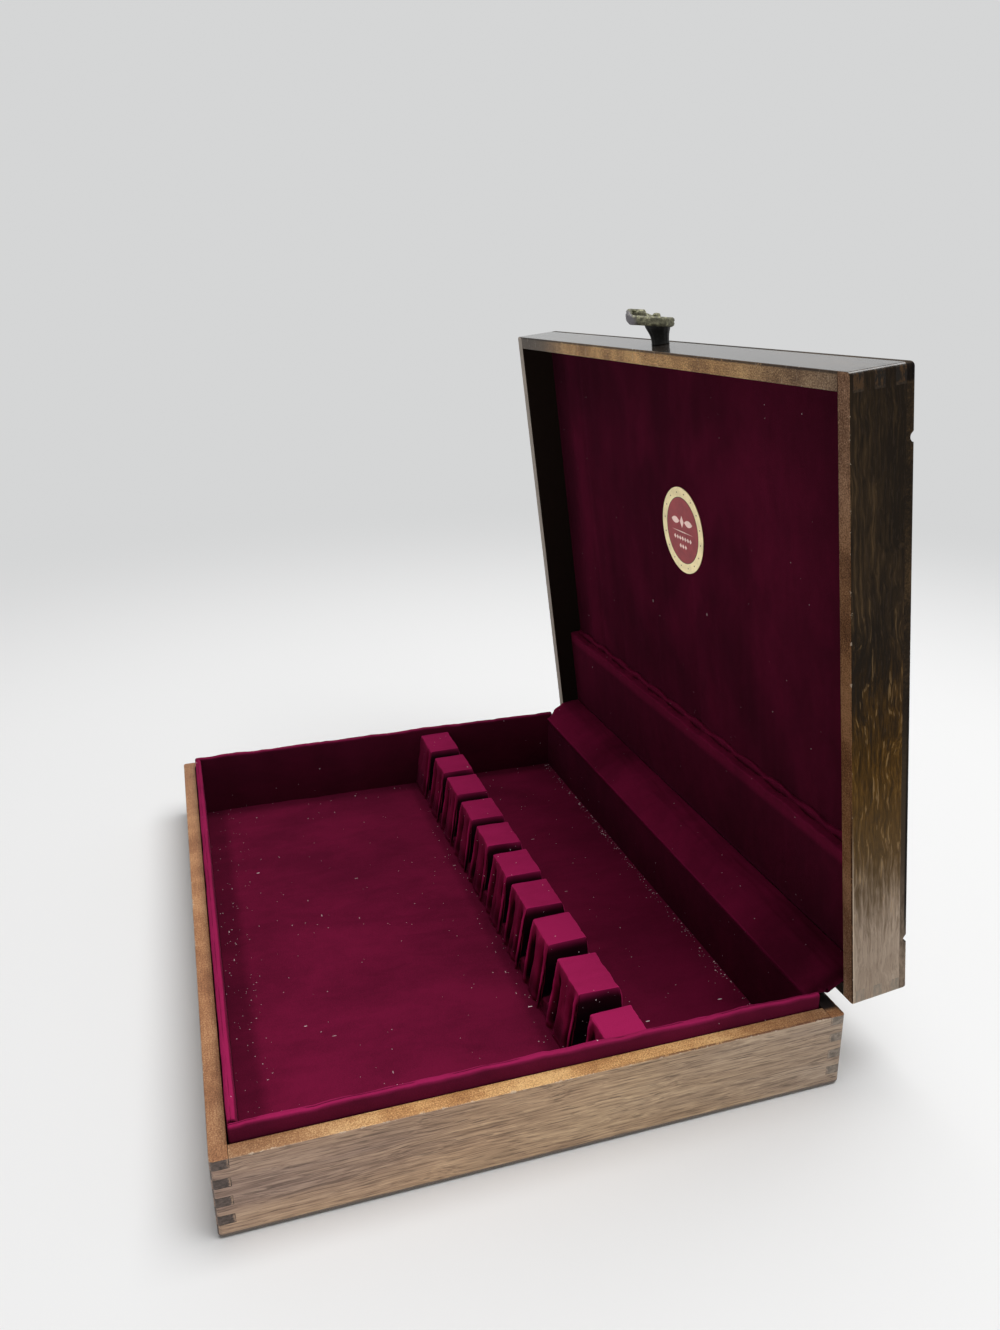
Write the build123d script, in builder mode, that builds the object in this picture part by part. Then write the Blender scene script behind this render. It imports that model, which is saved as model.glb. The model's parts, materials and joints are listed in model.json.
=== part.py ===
"""Knife box: a finger-jointed chest with a hinged lid, cloth linings, a flatware rack and a knife rack.

The origin is the middle of the underside. +X is the right-hand end, -Y the front, +Z up.
The lid stands open against its taut cloth hinge strip, which is the pose that everything is drawn in.
Lid pieces are drawn in lid_frame, whose own coordinates are those of the closed box.
"""

import os
from math import floor

from build123d import *

# Carcass: glued up as one box, then sawn apart into base and lid
box_length = 380.0
box_depth = 280.5
wall_thickness = 7.6
corner_round = 2.0
finger_width = 4.5
base_fingers = 8
carcass_fingers = 14
saw_kerf = 3.0
rim_gap = 0.5
rim_round = 0.5

# Bottom panel and the brads that hold it
base_panel_thickness = 2.1
underside_round = 1.8
brad_radius = 0.8
brad_length = 14.0
brad_head_radius = 1.5
brad_head_thickness = 0.6
brad_recess = 0.2
brad_inset = 30.0
long_wall_brads = 4
end_wall_brads = 3
brad_clearance = 0.03

# Lid panel, which lies on the lid's walls, with two grooves along it
lid_panel_thickness = 4.1
lid_edge_round = 1.5
groove_radius = 2.2
groove_depth = 2.2
groove_inset = 27.6

# Cloth-covered boards of the base
liner_thickness = 4.0
liner_clearance = 0.4
lip_above_rim = 7.4
back_liner_above_rim = 1.9
liner_round = 1.5
soft_gap = 0.3
floor_thickness = 2.4

# Flatware rack across the base
rack_middle = 39.2
rack_foot_width = 29.5
rack_top_width = 20.3
rack_height = 37.0
rack_round = 2.0
slot_floor = 5.0
slot_width = 10.0
slot_round = 2.5
slot_pitch = 35.4
first_slot_from_left = 37.3
last_slot_width = 14.0
last_slot_from_right = 28.1
least_block = 12.0

# Lid lining, its label and the knife rack behind it
lining_thickness = 4.0
label_radius = 24.4
label_thickness = 0.3
label_x = 5.0
label_from_front = 100.4
knife_rack_height = 56.0
knife_rack_below_rim = 12.2
knife_front_thickness = 4.4
knife_slot_width = 22.0
knife_pitch = 29.0
least_spacer = 8.0

# Hinges: one pair on the back face
lid_open_angle = 83.3
hinge_offset = 3.5
hinge_spread = 220.0
leaf_length = 40.0
leaf_height = 18.0
leaf_thickness = 1.2
knuckle_radius = 3.3
knuckle_gap = 0.3
pin_radius = 1.5
pin_clearance = 0.05
pin_head_radius = 2.3
pin_head_thickness = 0.8
screw_spread = 13.0
screw_stagger = 5.0
screw_length = 6.8
screw_radius = 1.3
screw_head_radius = 2.6
screw_head_depth = 1.2
screw_slot_width = 0.6
screw_slot_depth = 0.5
screw_clearance = 0.05

# Cloth hinge strip
cloth_thickness = 0.9

# Cast pull on the lid's front, and its screw
pull_above_rim = 16.0
stem_radius = 5.0
stem_neck_height = 4.0
stem_flare_radius = 7.2
stem_height = 10.5
pull_plate_length = 27.6
pull_plate_width = 20.0
pull_plate_thickness = 5.0
pull_plate_drop = 4.8
pull_plate_tilt = 10.5
pull_plate_round = 1.6
pull_loop_length = 7.6
pull_loop_width = 10.5
pull_loop_drop = 7.2
pull_screw_radius = 1.9
pull_screw_head_radius = 3.2
pull_screw_head_thickness = 1.8
pull_screw_reach = 6.0

# Heights and inner faces that follow from the sizes above
base_height = base_panel_thickness + base_fingers * finger_width
lid_rim = base_height + rim_gap
lid_wall_height = (carcass_fingers - base_fingers) * finger_width - saw_kerf
lid_wall_top = lid_rim + lid_wall_height
lid_top = lid_wall_top + lid_panel_thickness
lining_face = lid_wall_top - lining_thickness
inner_x = box_length / 2 - wall_thickness
inner_y = box_depth / 2 - wall_thickness
liner_outer_x = inner_x - liner_clearance
liner_outer_y = inner_y - liner_clearance
liner_inner_x = liner_outer_x - liner_thickness
liner_inner_y = liner_outer_y - liner_thickness
floor_top = base_panel_thickness + floor_thickness
room_x = liner_inner_x - soft_gap
room_y = liner_inner_y - soft_gap
lining_x = inner_x - soft_gap
lining_y = inner_y - soft_gap

# Hinge line and the frame of the open lid
hinge_y = box_depth / 2 + hinge_offset
hinge_z = base_height + rim_gap / 2
hinge_line = Location((0, hinge_y, hinge_z))
swing = hinge_line * Location((0, 0, 0), (-lid_open_angle, 0, 0)) * hinge_line.inverse()
base_frame = Plane.XY
lid_frame = Plane(swing)

os.makedirs("parts", exist_ok=True)


def save(part, node):
    """Labels a finished piece and writes it."""
    part.label = node
    export_step(part, f"parts/{node}.step")


def across(frame, x):
    """Plane across the box at x: its sketches are drawn in the frame's Y and Z."""
    return Plane(frame.from_local_coords(Vector(x, 0, 0)), x_dir=frame.y_dir, z_dir=frame.x_dir)


def facing_front(frame, y):
    """Plane at y that faces the front: its sketches are drawn in the frame's X and Z."""
    return Plane(frame.from_local_coords(Vector(0, y, 0)), x_dir=frame.x_dir, z_dir=-frame.y_dir)


def block(frame, x_span, y_span, z_span):
    """Rectangular block between three pairs of the frame's coordinates."""
    with BuildPart() as piece:
        with BuildSketch(frame.offset(z_span[0])):
            with Locations((sum(x_span) / 2, sum(y_span) / 2)):
                Rectangle(x_span[1] - x_span[0], y_span[1] - y_span[0])
        extrude(amount=z_span[1] - z_span[0])
    return piece.part


# ---- Carcass ----

# Outer form of the base, and of the lid: every wall is trimmed to it
with BuildPart() as base_form:
    with BuildSketch(base_frame):
        RectangleRounded(box_length, box_depth, corner_round)
    extrude(amount=base_height)
    fillet(base_form.faces().sort_by(Axis.Z)[0].edges(), underside_round)
    fillet(base_form.faces().sort_by(Axis.Z)[-1].edges(), rim_round)

with BuildPart() as lid_form:
    with BuildSketch(lid_frame.offset(lid_rim)):
        RectangleRounded(box_length, box_depth, corner_round)
    extrude(amount=lid_top - lid_rim)
    lid_up = Axis(lid_frame.origin, lid_frame.z_dir)
    fillet(lid_form.faces().sort_by(lid_up)[-1].edges(), lid_edge_round)
    fillet(lid_form.faces().sort_by(lid_up)[0].edges(), rim_round)


def finger_spans(parity, z_low, z_high, carcass_shift):
    """Heights of every second finger between z_low and z_high, counted from the carcass's foot."""
    spans = []
    for finger in range(parity, carcass_fingers, 2):
        low = base_panel_thickness + finger * finger_width - carcass_shift
        high = low + finger_width
        if high > z_low and low < z_high:
            spans.append((max(low, z_low), min(high, z_high)))
    return spans


def long_wall(frame, side, z_low, z_high, rim, notches, form):
    """Front wall (side -1) or back wall (side 1), notched at both ends for the end walls' fingers."""
    outer = side * box_depth / 2
    inner = side * inner_y
    with BuildPart() as wall:
        with BuildSketch(across(frame, -box_length / 2)) as section:
            with Locations(((outer + inner) / 2, (z_low + z_high) / 2)):
                Rectangle(wall_thickness, z_high - z_low)
            fillet(section.vertices().sort_by_distance((inner, rim))[0], rim_round)
        extrude(amount=box_length)
        for low, high in notches:
            with BuildSketch(frame.offset(low)):
                with Locations((0, (outer + inner) / 2)):
                    with GridLocations(box_length - wall_thickness, 0, 2, 1):
                        Rectangle(wall_thickness, wall_thickness)
            extrude(amount=high - low, mode=Mode.SUBTRACT)
        add(form, mode=Mode.INTERSECT)
    return wall.part


def end_wall(frame, side, z_low, z_high, rim, notches, form):
    """Left wall (side -1) or right wall (side 1), notched at both ends for the long walls' fingers."""
    outer = side * box_length / 2
    inner = side * inner_x
    with BuildPart() as wall:
        with BuildSketch(facing_front(frame, box_depth / 2)) as section:
            with Locations(((outer + inner) / 2, (z_low + z_high) / 2)):
                Rectangle(wall_thickness, z_high - z_low)
            fillet(section.vertices().sort_by_distance((inner, rim))[0], rim_round)
        extrude(amount=box_depth)
        for low, high in notches:
            with BuildSketch(frame.offset(low)):
                with Locations(((outer + inner) / 2, 0)):
                    with GridLocations(0, box_depth - wall_thickness, 1, 2):
                        Rectangle(wall_thickness, wall_thickness)
            extrude(amount=high - low, mode=Mode.SUBTRACT)
        add(form, mode=Mode.INTERSECT)
    return wall.part


# ---- Fasteners ----


def screw_places(frame, leaf_middle_z):
    """Places of the six screws of one pair of leaves, each pointing out of the back face."""
    places = []
    for hinge_x in (-hinge_spread / 2, hinge_spread / 2):
        middle = frame.from_local_coords(Vector(hinge_x, box_depth / 2 + leaf_thickness, leaf_middle_z))
        face = Plane(middle, x_dir=frame.x_dir * -1, z_dir=frame.y_dir)
        for along, up in ((-screw_spread, 0), (0, -screw_stagger), (screw_spread, 0)):
            places.append(face.location * Pos(along, up))
    return places


leaf_foot_z = base_height - leaf_height
leaf_head_z = lid_rim + leaf_height
base_screw_places = screw_places(base_frame, (leaf_foot_z + hinge_z - knuckle_radius) / 2 + screw_stagger / 3)
lid_screw_places = screw_places(lid_frame, (leaf_head_z + hinge_z + knuckle_radius) / 2 + screw_stagger / 3)


def countersunk(grown):
    """Screw profile turned about Z, its head's face at Z = 0, with its radii grown by a clearance."""
    with BuildPart() as screw:
        with BuildSketch(Plane.XZ):
            with BuildLine():
                Polyline(
                    (0, 0),
                    (screw_head_radius + grown, 0),
                    (screw_radius + grown, -screw_head_depth),
                    (screw_radius + grown, -screw_length - grown),
                    (0, -screw_length - grown),
                    close=True,
                )
            make_face()
        revolve(axis=Axis.Z)
    return screw.part


def hinge_screws(places):
    """Six countersunk screws with slotted heads, as separate solids."""
    screw = countersunk(0)
    with BuildPart() as screws:
        with Locations(*places):
            add(screw)
        with Locations(*places):
            Box(
                2 * screw_head_radius,
                screw_slot_width,
                screw_slot_depth,
                align=(Align.CENTER, Align.CENTER, Align.MAX),
                mode=Mode.SUBTRACT,
            )
    return screws.part


def brad_places():
    """Places of the brads under the bottom panel, in the middle of each wall's thickness."""
    wall_x = box_length / 2 - wall_thickness / 2
    wall_y = box_depth / 2 - wall_thickness / 2
    x_step = (box_length - 2 * brad_inset) / (long_wall_brads - 1)
    y_step = (box_depth - 2 * brad_inset) / (end_wall_brads - 1)
    with GridLocations(x_step, 2 * wall_y, long_wall_brads, 2) as long_rows:
        places = list(long_rows.locations)
    with GridLocations(2 * wall_x, y_step, 2, end_wall_brads) as end_rows:
        places += list(end_rows.locations)
    return places


def brads(grown):
    """Brads driven up through the bottom panel, with their radii grown by a clearance."""
    with BuildPart() as nails:
        with Locations(*[place * Pos(0, 0, brad_recess) for place in brad_places()]):
            Cylinder(
                brad_head_radius + grown,
                brad_head_thickness + grown,
                align=(Align.CENTER, Align.CENTER, Align.MIN),
            )
            Cylinder(
                brad_radius + grown,
                brad_length + grown,
                align=(Align.CENTER, Align.CENTER, Align.MIN),
            )
    return nails.part


brad_holes = brads(brad_clearance)
brad_head_room = brad_recess + brad_head_thickness
save(brads(0), "bottom_panel_brads")
save(hinge_screws(base_screw_places), "hinge_base_screws")
save(hinge_screws(lid_screw_places), "hinge_lid_screws")

# ---- Base walls and bottom panel ----

end_fingers = finger_spans(0, base_panel_thickness, base_height, 0)
long_fingers = finger_spans(1, base_panel_thickness, base_height, 0)
base_span = (base_panel_thickness, base_height, base_height)
seat = countersunk(screw_clearance)

with BuildPart() as base_front_wall:
    add(long_wall(base_frame, -1, *base_span, end_fingers, base_form.part))
    add(brad_holes, mode=Mode.SUBTRACT)
save(base_front_wall.part, "base_front_wall")

with BuildPart() as base_back_wall:
    add(long_wall(base_frame, 1, *base_span, end_fingers, base_form.part))
    add(brad_holes, mode=Mode.SUBTRACT)
    with Locations(*base_screw_places):
        add(seat, mode=Mode.SUBTRACT)
save(base_back_wall.part, "base_back_wall")

for side, node in ((-1, "base_left_wall"), (1, "base_right_wall")):
    with BuildPart() as base_end_wall:
        add(end_wall(base_frame, side, *base_span, long_fingers, base_form.part))
        add(brad_holes, mode=Mode.SUBTRACT)
    save(base_end_wall.part, node)

with BuildPart() as base_bottom_panel:
    with BuildSketch(base_frame):
        Rectangle(box_length, box_depth)
    extrude(amount=base_panel_thickness)
    add(base_form.part, mode=Mode.INTERSECT)
    add(brad_holes, mode=Mode.SUBTRACT)
    with BuildSketch(base_frame):
        with Locations(*brad_places()):
            Circle(brad_head_radius + brad_clearance)
    extrude(amount=brad_head_room, mode=Mode.SUBTRACT)
save(base_bottom_panel.part, "base_bottom_panel")

# ---- Lid walls and panel ----

carcass_shift = saw_kerf - rim_gap
lid_end_fingers = finger_spans(0, lid_rim, lid_wall_top, carcass_shift)
lid_long_fingers = finger_spans(1, lid_rim, lid_wall_top, carcass_shift)
lid_span = (lid_rim, lid_wall_top, lid_rim)
pull_z = lid_rim + pull_above_rim

with BuildPart() as lid_front_wall:
    add(long_wall(lid_frame, -1, *lid_span, lid_end_fingers, lid_form.part))
    with BuildSketch(facing_front(lid_frame, -inner_y)):
        with Locations((0, pull_z)):
            Circle(pull_screw_radius + screw_clearance)
    extrude(amount=wall_thickness, mode=Mode.SUBTRACT)
save(lid_front_wall.part, "lid_front_wall")

with BuildPart() as lid_back_wall:
    add(long_wall(lid_frame, 1, *lid_span, lid_end_fingers, lid_form.part))
    with Locations(*lid_screw_places):
        add(seat, mode=Mode.SUBTRACT)
save(lid_back_wall.part, "lid_back_wall")

for side, node in ((-1, "lid_left_wall"), (1, "lid_right_wall")):
    save(end_wall(lid_frame, side, *lid_span, lid_long_fingers, lid_form.part), node)

with BuildPart() as lid_top_panel:
    with BuildSketch(lid_frame.offset(lid_wall_top)):
        Rectangle(box_length, box_depth)
    extrude(amount=lid_panel_thickness)
    add(lid_form.part, mode=Mode.INTERSECT)
    with BuildSketch(across(lid_frame, -box_length / 2)):
        with Locations((0, lid_top - groove_depth + groove_radius)):
            with GridLocations(box_depth - 2 * groove_inset, 0, 2, 1):
                Circle(groove_radius)
    extrude(amount=box_length, mode=Mode.SUBTRACT)
save(lid_top_panel.part, "lid_top_panel")

# ---- Cloth-covered boards of the base ----

lip_top = base_height + lip_above_rim
back_liner_top = base_height + back_liner_above_rim


def liner(x_span, y_span, z_high):
    """Cloth-covered board that stands inside a wall, its upper edges rounded over."""
    with BuildPart() as board:
        add(block(base_frame, x_span, y_span, (base_panel_thickness, z_high)))
        fillet(board.faces().sort_by(Axis.Z)[-1].edges(), liner_round)
    return board.part


long_liner_span = (-room_x, room_x)
end_liner_span = (-liner_outer_y, liner_outer_y)
save(liner(long_liner_span, (-liner_outer_y, -liner_inner_y), lip_top), "front_liner")
save(liner(long_liner_span, (liner_inner_y, liner_outer_y), back_liner_top), "back_liner")
save(liner((-liner_outer_x, -liner_inner_x), end_liner_span, lip_top), "left_liner")
save(liner((liner_inner_x, liner_outer_x), end_liner_span, lip_top), "right_liner")

floor_span = (base_panel_thickness, floor_top)
save(block(base_frame, (-room_x, room_x), (-room_y, room_y), floor_span), "floor_board")

# ---- Flatware rack ----

rack_top = floor_top + rack_height
first_slot = -room_x + first_slot_from_left
last_slot = room_x - last_slot_from_right
slot_room = last_slot - first_slot - (last_slot_width + slot_width) / 2 - least_block
slot_count = floor(slot_room / slot_pitch) + 1
slots = [(first_slot + n * slot_pitch, slot_width) for n in range(slot_count)]
slots.append((last_slot, last_slot_width))

with BuildPart() as flatware_rack:
    with BuildSketch(across(base_frame, -room_x)) as rack_section:
        with BuildLine():
            Polyline(
                (rack_middle - rack_foot_width / 2, floor_top),
                (rack_middle + rack_foot_width / 2, floor_top),
                (rack_middle + rack_top_width / 2, rack_top),
                (rack_middle - rack_top_width / 2, rack_top),
                close=True,
            )
        make_face()
        fillet(rack_section.vertices().group_by(Axis.Y)[-1], rack_round)
    extrude(amount=2 * room_x)
    slot_z = floor_top + slot_floor
    for middle, width in slots:
        with BuildSketch(facing_front(base_frame, rack_middle)) as slot_section:
            with Locations((middle, (slot_z + rack_top) / 2)):
                Rectangle(width, rack_top - slot_z)
            fillet(slot_section.vertices().group_by(Axis.Y)[0], slot_round)
        extrude(amount=rack_foot_width, both=True, mode=Mode.SUBTRACT)
save(flatware_rack.part, "flatware_rack")

# ---- Lid lining, label and knife rack ----

lining_span = (lining_face, lid_wall_top)
save(block(lid_frame, (-lining_x, lining_x), (-lining_y, lining_y), lining_span), "lid_lining_board")

with BuildPart() as lining_label:
    with BuildSketch(lid_frame.offset(lining_face - label_thickness)):
        with Locations((label_x, -box_depth / 2 + label_from_front)):
            Circle(label_radius)
    extrude(amount=label_thickness)
save(lining_label.part, "lining_label")

knife_low_z = lid_rim + knife_rack_below_rim
knife_slot_low_z = knife_low_z + knife_front_thickness
knife_y_span = (lining_y - knife_rack_height, lining_y)
knife_front_span = (knife_low_z, knife_slot_low_z)
save(block(lid_frame, (-lining_x, lining_x), knife_y_span, knife_front_span), "knife_rack_front")

knife_slots = floor((2 * lining_x - knife_slot_width - 2 * least_spacer) / knife_pitch) + 1
spacer_edges = [-lining_x]
for n in range(knife_slots):
    slot_middle = (n - (knife_slots - 1) / 2) * knife_pitch
    spacer_edges += [slot_middle - knife_slot_width / 2, slot_middle + knife_slot_width / 2]
spacer_edges.append(lining_x)
with BuildPart() as knife_rack_spacers:
    for left, right in zip(spacer_edges[0::2], spacer_edges[1::2]):
        add(block(lid_frame, (left, right), knife_y_span, (knife_slot_low_z, lining_face)))
save(knife_rack_spacers.part, "knife_rack_spacers")

# ---- Hinges ----

middle_knuckle = leaf_length / 3
outer_knuckle = (leaf_length - middle_knuckle) / 2 - knuckle_gap


def knuckle(frame, x_start, length):
    """Barrel round the hinge line, bored for the pin."""
    with BuildPart() as barrel:
        with BuildSketch(across(frame, x_start)):
            with Locations((hinge_y, hinge_z)):
                Circle(knuckle_radius)
                Circle(pin_radius + pin_clearance, mode=Mode.SUBTRACT)
        extrude(amount=length)
    return barrel.part


def leaf(frame, hinge_x, z_far, upward, knuckle_spans, places):
    """Leaf on the back face: a plate from z_far to the barrel, notched beside its own knuckles."""
    plate_y = (box_depth / 2, box_depth / 2 + leaf_thickness)
    notch_z = hinge_z + upward * (knuckle_radius + knuckle_gap)
    left = hinge_x - leaf_length / 2
    with BuildPart() as plate:
        add(block(frame, (left, left + leaf_length), plate_y, sorted((z_far, notch_z))))
        for start, length in knuckle_spans:
            x_span = (left + start, left + start + length)
            add(block(frame, x_span, plate_y, sorted((notch_z, hinge_z))))
            add(knuckle(frame, left + start, length))
        with BuildSketch(across(frame, left)):
            with Locations((hinge_y, hinge_z)):
                Circle(pin_radius + pin_clearance)
        extrude(amount=leaf_length, mode=Mode.SUBTRACT)
        with Locations(*places):
            add(seat, mode=Mode.SUBTRACT)
    return plate.part


base_knuckles = ((0, outer_knuckle), (leaf_length - outer_knuckle, outer_knuckle))
lid_knuckles = ((outer_knuckle + knuckle_gap, middle_knuckle),)

for side, name in ((-1, "left"), (1, "right")):
    hinge_x = side * hinge_spread / 2
    base_leaf = leaf(base_frame, hinge_x, leaf_foot_z, -1, base_knuckles, base_screw_places)
    save(base_leaf, f"{name}_hinge_base_leaf")
    lid_leaf = leaf(lid_frame, hinge_x, leaf_head_z, 1, lid_knuckles, lid_screw_places)
    save(lid_leaf, f"{name}_hinge_lid_leaf")
    with BuildPart() as hinge_pin:
        with BuildSketch(across(base_frame, hinge_x - leaf_length / 2)):
            with Locations((hinge_y, hinge_z)):
                Circle(pin_radius)
        extrude(amount=leaf_length)
        with BuildSketch(
            across(base_frame, hinge_x - leaf_length / 2 - pin_head_thickness),
            across(base_frame, hinge_x + leaf_length / 2),
        ):
            with Locations((hinge_y, hinge_z)):
                Circle(pin_head_radius)
        extrude(amount=pin_head_thickness)
    save(hinge_pin.part, f"{name}_hinge_pin")

# ---- Cloth hinge strip: from the back liner's top, over the lid's rim, to the knife rack's foot ----

rim_corner = lid_frame.from_local_coords(Vector(0, lining_y, lid_rim - soft_gap))
rack_foot = lid_frame.from_local_coords(Vector(0, lining_y, knife_low_z - soft_gap))
strip_start = Vector(liner_inner_y, back_liner_top + soft_gap)
strip_bend = Vector(rim_corner.Y, rim_corner.Z)
strip_end = Vector(rack_foot.Y, rack_foot.Z)
past_liners = (inner_y + cloth_thickness - strip_start.X) / (strip_bend.X - strip_start.X)
strip_widens = strip_start + (strip_bend - strip_start) * past_liners

with BuildPart() as hinge_cloth:
    for half_width, start in ((room_x, strip_start), (lining_x, strip_widens)):
        with BuildSketch(across(base_frame, -half_width)):
            with BuildLine():
                Polyline(start, strip_bend, strip_end)
                offset(amount=cloth_thickness, side=Side.LEFT)
            make_face()
        extrude(amount=2 * half_width)
save(hinge_cloth.part, "hinge_cloth")

# ---- Pull and its screw, drawn round the stem's axis: Z points out of the lid's front, Y up ----

stem_foot = facing_front(lid_frame, -box_depth / 2).location * Pos(0, pull_z)
plate_back = Plane(Pos(0, -pull_plate_drop, stem_height) * Rot(-pull_plate_tilt, 0, 0))

with BuildPart() as lid_pull:
    with BuildSketch(Plane.XZ):
        with BuildLine():
            foot = Line((0, 0), (stem_radius, 0))
            neck = Line(foot @ 1, (stem_radius, stem_neck_height))
            flare = TangentArc(neck @ 1, (stem_flare_radius, stem_height), tangent=(0, 1))
            Line(flare @ 1, (0, stem_height))
            Line((0, stem_height), (0, 0))
        make_face()
    revolve(axis=Axis.Z)
    with BuildSketch(plate_back):
        SlotOverall(pull_plate_length, pull_plate_width, rotation=90)
    extrude(amount=pull_plate_thickness)
    plate_out = Axis(plate_back.origin, plate_back.z_dir)
    fillet(lid_pull.faces().sort_by(plate_out)[-1].edges(), pull_plate_round)
    with BuildSketch(plate_back):
        with Locations((0, -pull_loop_drop)):
            Ellipse(pull_loop_width / 2, pull_loop_length / 2)
    extrude(amount=pull_plate_thickness, mode=Mode.SUBTRACT)
    Cylinder(
        pull_screw_radius + screw_clearance,
        pull_screw_reach + screw_clearance,
        align=(Align.CENTER, Align.CENTER, Align.MIN),
        mode=Mode.SUBTRACT,
    )
save(lid_pull.part.moved(stem_foot), "lid_pull")

with BuildPart() as pull_screw:
    with BuildSketch(Plane.XY.offset(-wall_thickness)):
        Circle(pull_screw_radius)
    extrude(amount=wall_thickness + pull_screw_reach)
    with BuildSketch(Plane.XY.offset(-wall_thickness)):
        Circle(pull_screw_head_radius)
    extrude(amount=-pull_screw_head_thickness)
    fillet(pull_screw.faces().sort_by(Axis.Z)[0].edges(), pull_screw_head_thickness / 2)
    with BuildSketch(Plane.XY.offset(-wall_thickness - pull_screw_head_thickness)):
        Rectangle(2 * pull_screw_head_radius, screw_slot_width)
    extrude(amount=screw_slot_depth, mode=Mode.SUBTRACT)
save(pull_screw.part.moved(stem_foot), "pull_screw")
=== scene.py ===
import json
import random
from math import cos, exp, pi, radians, sin, sqrt

import bmesh
import bpy
from mathutils import Matrix, Vector, noise


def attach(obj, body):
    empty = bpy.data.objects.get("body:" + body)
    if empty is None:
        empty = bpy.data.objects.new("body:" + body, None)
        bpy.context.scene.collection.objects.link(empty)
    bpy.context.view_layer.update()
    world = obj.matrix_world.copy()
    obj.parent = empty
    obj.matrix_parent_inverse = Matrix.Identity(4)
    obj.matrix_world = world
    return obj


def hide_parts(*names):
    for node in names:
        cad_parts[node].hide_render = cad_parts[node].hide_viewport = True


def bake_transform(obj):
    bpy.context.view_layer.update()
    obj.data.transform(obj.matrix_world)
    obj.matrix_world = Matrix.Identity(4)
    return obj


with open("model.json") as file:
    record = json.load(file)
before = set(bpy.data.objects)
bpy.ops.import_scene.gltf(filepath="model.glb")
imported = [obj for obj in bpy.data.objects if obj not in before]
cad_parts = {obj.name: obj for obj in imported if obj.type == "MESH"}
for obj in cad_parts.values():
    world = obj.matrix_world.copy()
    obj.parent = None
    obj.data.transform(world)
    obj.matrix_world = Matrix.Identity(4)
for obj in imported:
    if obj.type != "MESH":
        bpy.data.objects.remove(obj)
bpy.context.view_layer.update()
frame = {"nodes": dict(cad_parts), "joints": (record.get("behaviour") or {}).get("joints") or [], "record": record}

mm = 0.001

# The lid is drawn shut, in millimetres, and then swung open about its hinge line.
hinge = frame["joints"][0]
pivot = Vector(hinge["pos_m"])
openAngle = radians(hinge["range_deg"][1])
swingOpen = Matrix.Translation(pivot) @ Matrix.Rotation(-openAngle, 4, "X") @ Matrix.Translation(-pivot)
swingShut = swingOpen.inverted()


def cornersOf(node, onLid=False):  # low and high corner in millimetres, with the lid shut
    place = swingShut if onLid else Matrix.Identity(4)
    points = [place @ vertex.co / mm for vertex in frame["nodes"][node].data.vertices]
    low = Vector([min(point[axis] for point in points) for axis in range(3)])
    high = Vector([max(point[axis] for point in points) for axis in range(3)])
    return low, high


baseLow, baseHigh = cornersOf("base_bottom_panel")
rimHeight = cornersOf("base_left_wall")[1].z
lidRim = cornersOf("lid_left_wall", True)[0].z
lidTop = cornersOf("lid_top_panel", True)[1].z
wallThickness = cornersOf("base_front_wall")[1].y - baseLow.y
boxLength, boxDepth = baseHigh.x - baseLow.x, baseHigh.y - baseLow.y
innerX, innerY = boxLength / 2 - wallThickness, boxDepth / 2 - wallThickness
openings = {o["name"]: [Vector(c) / mm for c in o["box_m"]] for o in frame["record"]["physics"]["openings"]}


# Small helpers for nodes. Each new node goes into the tree that was opened last.
work = {"tree": None}


def openTree(tree):
    work["tree"] = tree
    return tree


def feed(node, name, value):  # the value is a socket or a plain one, and a colour has three shares
    target = node.inputs[name]
    if isinstance(value, bpy.types.NodeSocket):
        work["tree"].links.new(value, target)
    else:
        target.default_value = (*value, 1.0) if target.type == "RGBA" else value


def put(kind, inputs=None, **settings):
    tree = work["tree"]
    node = tree.nodes.new(kind)
    node.location = (170 * (len(tree.nodes) % 12), -220 * (len(tree.nodes) // 12))  # rows of twelve
    for name, value in settings.items():
        setattr(node, name, value)
    for name, value in (inputs or {}).items():
        feed(node, name, value)
    return node


def calc(operation, a, b=0.0, c=0.0):
    return put("ShaderNodeMath", {0: a, 1: b, 2: c}, operation=operation).outputs[0]


def times(a, b):
    return calc("MULTIPLY", a, b)


def minus(a, b):
    return calc("SUBTRACT", a, b)


def scaled(value, scale, offset):
    return calc("MULTIPLY_ADD", value, scale, offset)


def absolute(value):
    return calc("ABSOLUTE", value)


def band(value, low, high):  # 0 below low, 1 above high, smooth between; swap them to turn it round
    inputs = {"Value": value, "From Min": low, "From Max": high}
    return put("ShaderNodeMapRange", inputs, interpolation_type="SMOOTHSTEP").outputs[0]


def near(value, middle, reach):  # 1 at middle, fading to 0 at reach
    return band(absolute(minus(value, middle)), reach, reach * 0.35)


def tint(amount, under, over, mode="MIX"):
    inputs = {0: amount, 6: under, 7: over}
    return put("ShaderNodeMix", inputs, data_type="RGBA", blend_type=mode).outputs[2]


def mixed(*shares):  # weighted sum about a half, so that ramps keep their middle
    total = 0.5
    for value, share in shares:
        total = calc("ADD", total, times(minus(value, 0.5), share))
    return total


def grainNoise(vector, stretch, detail=4.0, roughness=0.55, distortion=0.0):
    inputs = {"Scale": 1.0, "Detail": detail, "Roughness": roughness, "Distortion": distortion}
    spread = put("ShaderNodeVectorMath", {0: vector, 1: stretch}, operation="MULTIPLY").outputs[0]
    return put("ShaderNodeTexNoise", {"Vector": spread, **inputs}).outputs["Fac"]


def toned(colour, factor):
    return tuple(factor * c for c in colour)


def ramp(value, stops):
    node = put("ShaderNodeValToRGB", {0: value})
    while len(node.color_ramp.elements) < len(stops):
        node.color_ramp.elements.new(1.0)
    for element, (position, colour) in zip(node.color_ramp.elements, stops):
        element.position, element.color = position, (*colour, 1.0)
    return node.outputs[0]


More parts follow.
